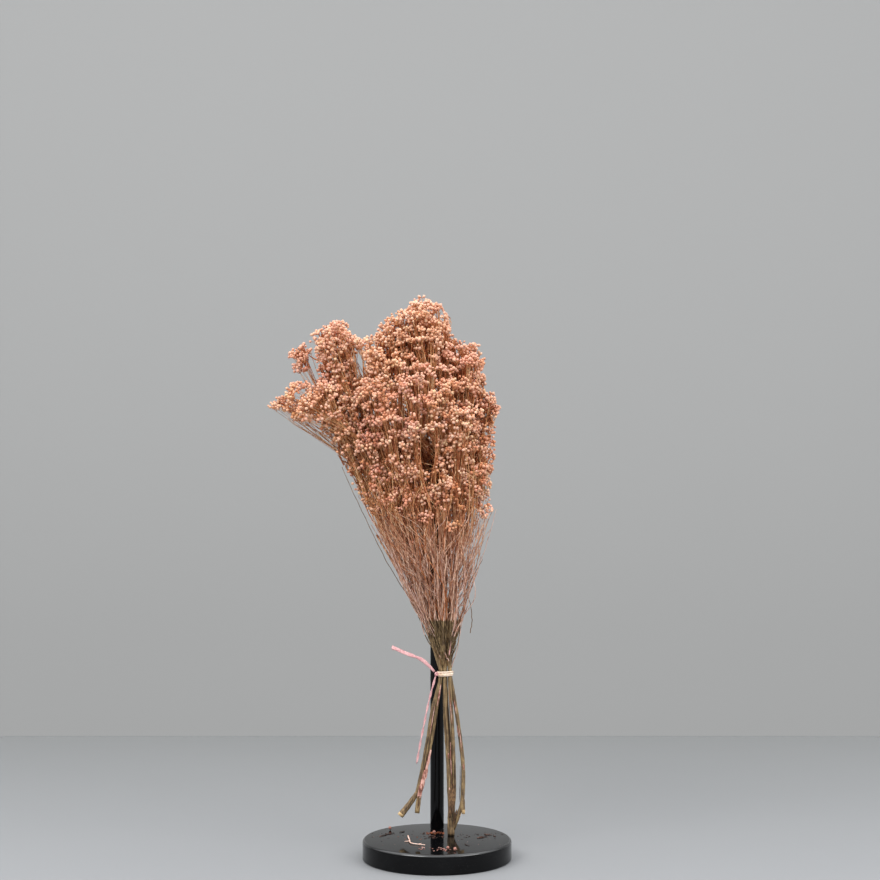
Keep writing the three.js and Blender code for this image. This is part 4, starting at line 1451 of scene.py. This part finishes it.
class BROOM_OT_tie(BloomOperator, bpy.types.Operator):
    """Makes the raffia band round the stems and its knot"""

    bl_idname = "broom.tie"
    bl_label = "Raffia Tie"

    def execute(self, context):
        bm = bmesh.new()
        draw = Draws(5)
        half_width, half_depth, squareness = 7.7, 5.5, 3.2
        for strand in range(4):
            level = TIE_CENTRE.z - 1.4 + 0.95 * strand
            bulge = draw(-0.15, 0.25)
            path = []
            for i in range(64):
                turn = 2 * math.pi * i / 64
                x, y = math.cos(turn), math.sin(turn)
                reach = (abs(x) ** squareness + abs(y) ** squareness) ** (-1 / squareness)
                lift = 0.35 * math.sin(turn + strand) + 0.3 * x
                path.append(Vector((
                    TIE_CENTRE.x + x * reach * (half_width + bulge),
                    TIE_CENTRE.y + y * reach * (half_depth + bulge),
                    level + lift)))
            sweep(bm, path, [0.85] * 64, [0.45] * 64, sides=8, closed=True)
        band = len(bm.faces)
        knot = Vector((-0.7, 19.2, TIE_CENTRE.z))
        for turn, tilt in ((0, 0.3), (1.1, -0.5), (2.2, 0.8)):
            loop = []
            for i in range(24):
                angle = 2 * math.pi * i / 24
                at = Vector((1.35 * math.cos(angle), 0.8 * math.sin(angle), 1.5 * math.sin(angle)))
                at.rotate(Quaternion((0, 0, 1), turn))
                at.rotate(Quaternion((1, 0, 0), tilt))
                loop.append(knot + at)
            sweep(bm, loop, [0.7] * 24, [0.5] * 24, sides=8, closed=True)
        bm.faces.ensure_lookup_table()
        tint(bm.faces[band:], 1)
        tie = finish_mesh("tie_band", bm, [raffia_finish("cream raffia"), bpy.data.materials["pink raffia"]])
        place_piece(tie, "cream_raffia", "tie")
        return {"FINISHED"}


class BROOM_OT_sprays(BloomOperator, bpy.types.Operator):
    """Grows the nine dyed sprays: wires, stalks and pods"""

    bl_idname = "broom.sprays"
    bl_label = "Dyed Sprays"

    def execute(self, context):
        props = context.scene.bloom_settings
        twigs = [
            twig_finish("dyed twigs", "dyed", "crown"),
            twig_finish("pale twigs", "pale", "golden", 0.218),
            twig_finish("brown twigs", "brown", "brown"),
            twig_finish("golden twigs", "dyed", "golden", 0.222),
        ]
        pods = pod_finish("dyed pods", props)
        field = PodField(props.pod_size / MM * 0.74)
        tufts = throw_tufts(props.filler_spacing / MM)
        bare = throw_bare_wires(props.bare_wires)
        growths = {}
        for seed, name in enumerate(SPRAYS):
            growth = growths[name] = SprayGrowth(name, field, props, 4021 + 17 * seed)
            growth.add_wire(spaced(main_stem_points(name), 10), 1.8, 0.8)
            for head in HEADS:
                if head["spray"] == name:
                    growth.add_head(head)
        add_thicket(growths, props.thicket)
        add_core(growths, props.core_twigs)
        for name, growth in growths.items():
            for centre, head in tufts:
                if head["spray"] == name:
                    growth.add_filler(centre, head)
            for place, spray, tuft_pods in bare:
                if spray == name:
                    growth.add_bare_wire(place, tuft_pods)
            place_piece(wires_curve(name + "_wires", growth.wires, twigs), "dyed_bloom")
            place_piece(pods_mesh(name + "_pods", growth.pods, pods), "dyed_bloom", name)
        return {"FINISHED"}


class BROOM_OT_loose(BloomOperator, bpy.types.Operator):
    """Makes the loose wires, the bark fuzz and the pink strip above the tie"""

    bl_idname = "broom.loose"
    bl_label = "Loose Wires"

    def execute(self, context):
        draw = Draws(909)
        finishes = [
            bark_finish("bark fuzz", 900.0, 60.0, 0.0002),
            twig_finish("loose twigs", "pale", "pale", 0.17),
            twig_finish("tan twigs", "tan", "tan"),
        ]
        wires = []
        for thick, finish, points in LOOSE_WIRES:
            route = [at + draw.direction() * 0.5 for at in spaced(points, 24)]
            wires.append((route, [thick * (0.6 + 0.4 * i / 24) for i in range(25)], finish))
        for _ in range(230):
            height = draw(190, 236)
            turn = draw.turn()
            wide = 5.6 + 0.25 * (height - 190)
            foot = Vector((
                TIE_CENTRE.x + math.cos(turn) * wide, TIE_CENTRE.y + math.sin(turn) * wide * 0.8, height))
            foot.x -= 0.06 * (height - 190)
            way = Vector((draw(-0.45, 0.45), draw(-0.3, 0.3), draw(0.6, 1.3))) * draw(5, 15)
            path = [foot, foot + way * 0.5 + draw.direction() * 1.2, foot + way + draw.direction() * 1.5]
            wires.append((spaced(path, 5), [0.32, 0.3, 0.28, 0.24, 0.2, 0.15], 0))
        place_piece(wires_curve("loose_wires", wires, finishes), "dyed_bloom")
        bm = bmesh.new()
        route = spaced([(13.8, 16.4, 222), (13.4, 16.6, 212), (12.2, 17.2, 202)], 10)
        sweep(bm, route, [0.35] * 11, [0.5, 0.8, 1, 1.1, 1.1, 1, 1, 0.9, 0.8, 0.7, 0.4], sides=8)
        strip = finish_mesh("peeled_strip", bm, [bark_finish("peeled strip", 500.0, 120.0, 0.0004)])
        place_piece(strip, "dyed_bloom")
        return {"FINISHED"}


class BROOM_OT_fallen(BloomOperator, bpy.types.Operator):
    """Makes the bits that have dropped on the disc"""

    bl_idname = "broom.fallen"
    bl_label = "Fallen Bits"

    def execute(self, context):
        draw = Draws(31)
        bm = bmesh.new()
        places = [(-29.3, 6.5), (-27.5, -12), (-25.8, -25.6), (-20, -31), (-11.8, -34.6)]
        route = spaced([(x, y, DISC_TOP + 1.1) for x, y in places], 24)
        sweep(bm, route, knobbly([0.8 - 0.4 * i / 24 for i in range(25)], draw, 0.12), sides=8)
        for fork in (
            [(-27, -15), (-29.6, -17.4), (-32.4, -17.8)],
            [(-19, -31.4), (-16.6, -28.6), (-15.4, -26.4)],
        ):
            prong = spaced([(x, y, DISC_TOP + 0.9) for x, y in fork], 6)
            sweep(bm, prong, [0.55, 0.5, 0.45, 0.45, 0.4, 0.35, 0.25], sides=6)
        twig = finish_mesh("dropped_twig", bm, [bark_finish("fallen twig bark", 900.0, 900.0, 0.0002)])
        place_piece(twig, "fallen_bits", "fallen_twig")
        pods = bark_finish("fallen pods", 700.0, 700.0, 0.0003)
        for i, (x, y) in enumerate([(-48.4, 39.9), (10.8, -52), (17.6, -56.7), (-3.1, 20.6)], 1):
            pod = (Vector((x, y, DISC_TOP + 2.1)), draw.direction(), 1.75, draw(0.3, 0.55))
            place_piece(pods_mesh(f"dropped_pod_{i}", [pod], pods), "fallen_bits", f"fallen_pod_{i}")
        bm = bmesh.new()
        for x, y, spread, count, size, finish in CRUMBS:
            for _ in range(count):
                at = Vector((x + draw(-spread, spread) * 2, y + draw(-spread, spread), DISC_TOP + size * 0.4))
                aside = math.hypot(at.x - 14.2, at.y - 16) > 5 and from_post(at) > POST_RADIUS + 1
                if not aside or math.hypot(at.x, at.y) > DISC_RADIUS - 5:
                    continue
                bit = bmesh.ops.create_icosphere(bm, subdivisions=1, radius=1.0)["verts"]
                turn = Matrix.Rotation(draw(0, 6.28), 4, "Z")
                reach = [size * draw(*limits) for limits in ((0.7, 2.2), (0.4, 0.8), (0.2, 0.38))]
                shape = Matrix.Translation(at) @ turn @ Matrix.Diagonal((*reach, 1))
                bmesh.ops.transform(bm, matrix=shape, verts=bit)
                tint({face for vert in bit for face in vert.link_faces}, finish)
        for x, y in THREADS:
            turn = draw(0, 6.28)
            reach = Vector((math.cos(turn), math.sin(turn), 0)) * draw(2.5, 6)
            middle = Vector((x, y, DISC_TOP + 0.5))
            bow = Vector((-reach.y, reach.x, 0)) * draw(-0.4, 0.4)
            path = spaced([middle - reach, middle + bow, middle + reach], 5)
            sweep(bm, path, [0.4, 0.42, 0.4, 0.36, 0.3, 0.2], sides=6)
        tones = ("dark crumbs", "orange crumbs", "pink crumbs")
        finishes = [bark_finish(tone, 160.0, 160.0, 0.0002) for tone in tones]
        place_piece(finish_mesh("crumbs", bm, finishes, smooth=False), "fallen_bits")
        return {"FINISHED"}


def add_sheet(name, size, cuts, middle, finish, upright=False):
    """A flat sheet of the stage, in millimetres."""
    bm = bmesh.new()
    bmesh.ops.create_grid(bm, x_segments=4, y_segments=cuts, size=1.0)
    bmesh.ops.scale(bm, vec=(*size, 1), verts=bm.verts)
    if upright:
        bmesh.ops.rotate(bm, cent=(0, 0, 0), matrix=Matrix.Rotation(math.pi / 2, 3, "X"), verts=bm.verts)
    bmesh.ops.translate(bm, vec=middle, verts=bm.verts)
    finish_mesh(name, bm, [finish])


class BROOM_OT_stage(BloomOperator, bpy.types.Operator):
    """Sets the pale table, the grey wall and the soft studio light"""

    bl_idname = "broom.stage"
    bl_label = "Studio"

    def execute(self, context):
        props = context.scene.stage_settings
        # The table's third tone is painted shade that darkens it towards the wall.
        table = ground_finish("table top", props.table_top, "87888a", 0.8, "717272")
        add_sheet("table", (3000, 2000), 4, (0, 755 - 2000, -0.1), table)
        # Painted shadow: a thin upright strip at the table's back edge draws the shadow line where the table
        # meets the wall.
        shadow_line_finish = ground_finish("horizon shadow line", "9b9c9c", "9e9f9f", 0.8)
        add_sheet("horizon_shadow_line", (3000, 0.9), 1, (0, 756, 0.6), shadow_line_finish, upright=True)
        paint = ground_finish("wall paint", props.wall_paint, "b6b6b5", 0.5)
        add_sheet("wall", (4000, 2500), 4, (0, 2300, 1000), paint, upright=True)
        for name, place, size, power in (
            ("key", (-1.6, -1.7, 2.4), 1.8, props.key_power),
            ("fill", (2.0, -1.4, 1.7), 1.6, props.fill_power),
        ):
            data = bpy.data.lights.new(name, "AREA")
            data.shape = "RECTANGLE"
            data.size = size
            data.size_y = size * 0.6
            data.energy = power
            light = add_object(name, data)
            light.location = place
            aim = Vector((0, 0.05, 0.35)) - Vector(place)
            light.rotation_euler = aim.to_track_quat("-Z", "Y").to_euler()
        world = bpy.data.worlds.new("studio")
        world.use_nodes = True
        w = Wiring(world.node_tree)
        background = world.node_tree.nodes["Background"]
        upward = w.split(w.node("ShaderNodeTexCoord").outputs["Generated"])[2]
        level = w.span(upward, 0.15, 0.75, props.room_dark, props.room_light)
        seen = w.node("ShaderNodeLightPath").outputs["Is Camera Ray"]
        w.feed(background, 0, "f6f8fa")
        w.feed(background, 1, w.span(seen, 0, 1, level, 0.44))
        context.scene.world = world
        context.scene.view_settings.view_transform = "Standard"
        return {"FINISHED"}


STEPS = (
    BROOM_OT_camera, BROOM_OT_tails, BROOM_OT_stand, BROOM_OT_woody, BROOM_OT_tie, BROOM_OT_sprays,
    BROOM_OT_loose, BROOM_OT_fallen, BROOM_OT_stage,
)


class BROOM_PT_panel(bpy.types.Panel):
    """Lists the steps that make the bunch"""

    bl_idname = "BROOM_PT_panel"
    bl_label = "Broom Bloom"
    bl_space_type = "VIEW_3D"
    bl_region_type = "UI"
    bl_category = "Broom Bloom"

    def draw(self, context):
        layout = self.layout
        for settings in (context.scene.bloom_settings, context.scene.stage_settings):
            box = layout.box()
            for key in settings.__annotations__:
                box.prop(settings, key)
        for step in STEPS:
            layout.operator(step.bl_idname)


CLASSES = (BloomSettings, StageSettings, *STEPS, BROOM_PT_panel)


def register():
    for cls in CLASSES:
        bpy.utils.register_class(cls)
    bpy.types.Scene.bloom_settings = bpy.props.PointerProperty(type=BloomSettings)
    bpy.types.Scene.stage_settings = bpy.props.PointerProperty(type=StageSettings)


def unregister():
    del bpy.types.Scene.stage_settings
    del bpy.types.Scene.bloom_settings
    for cls in reversed(CLASSES):
        bpy.utils.unregister_class(cls)


def main():
    register()
    for step in STEPS:
        group, name = step.bl_idname.split(".")
        getattr(getattr(bpy.ops, group), name)()


if __name__ == "__main__":
    main()
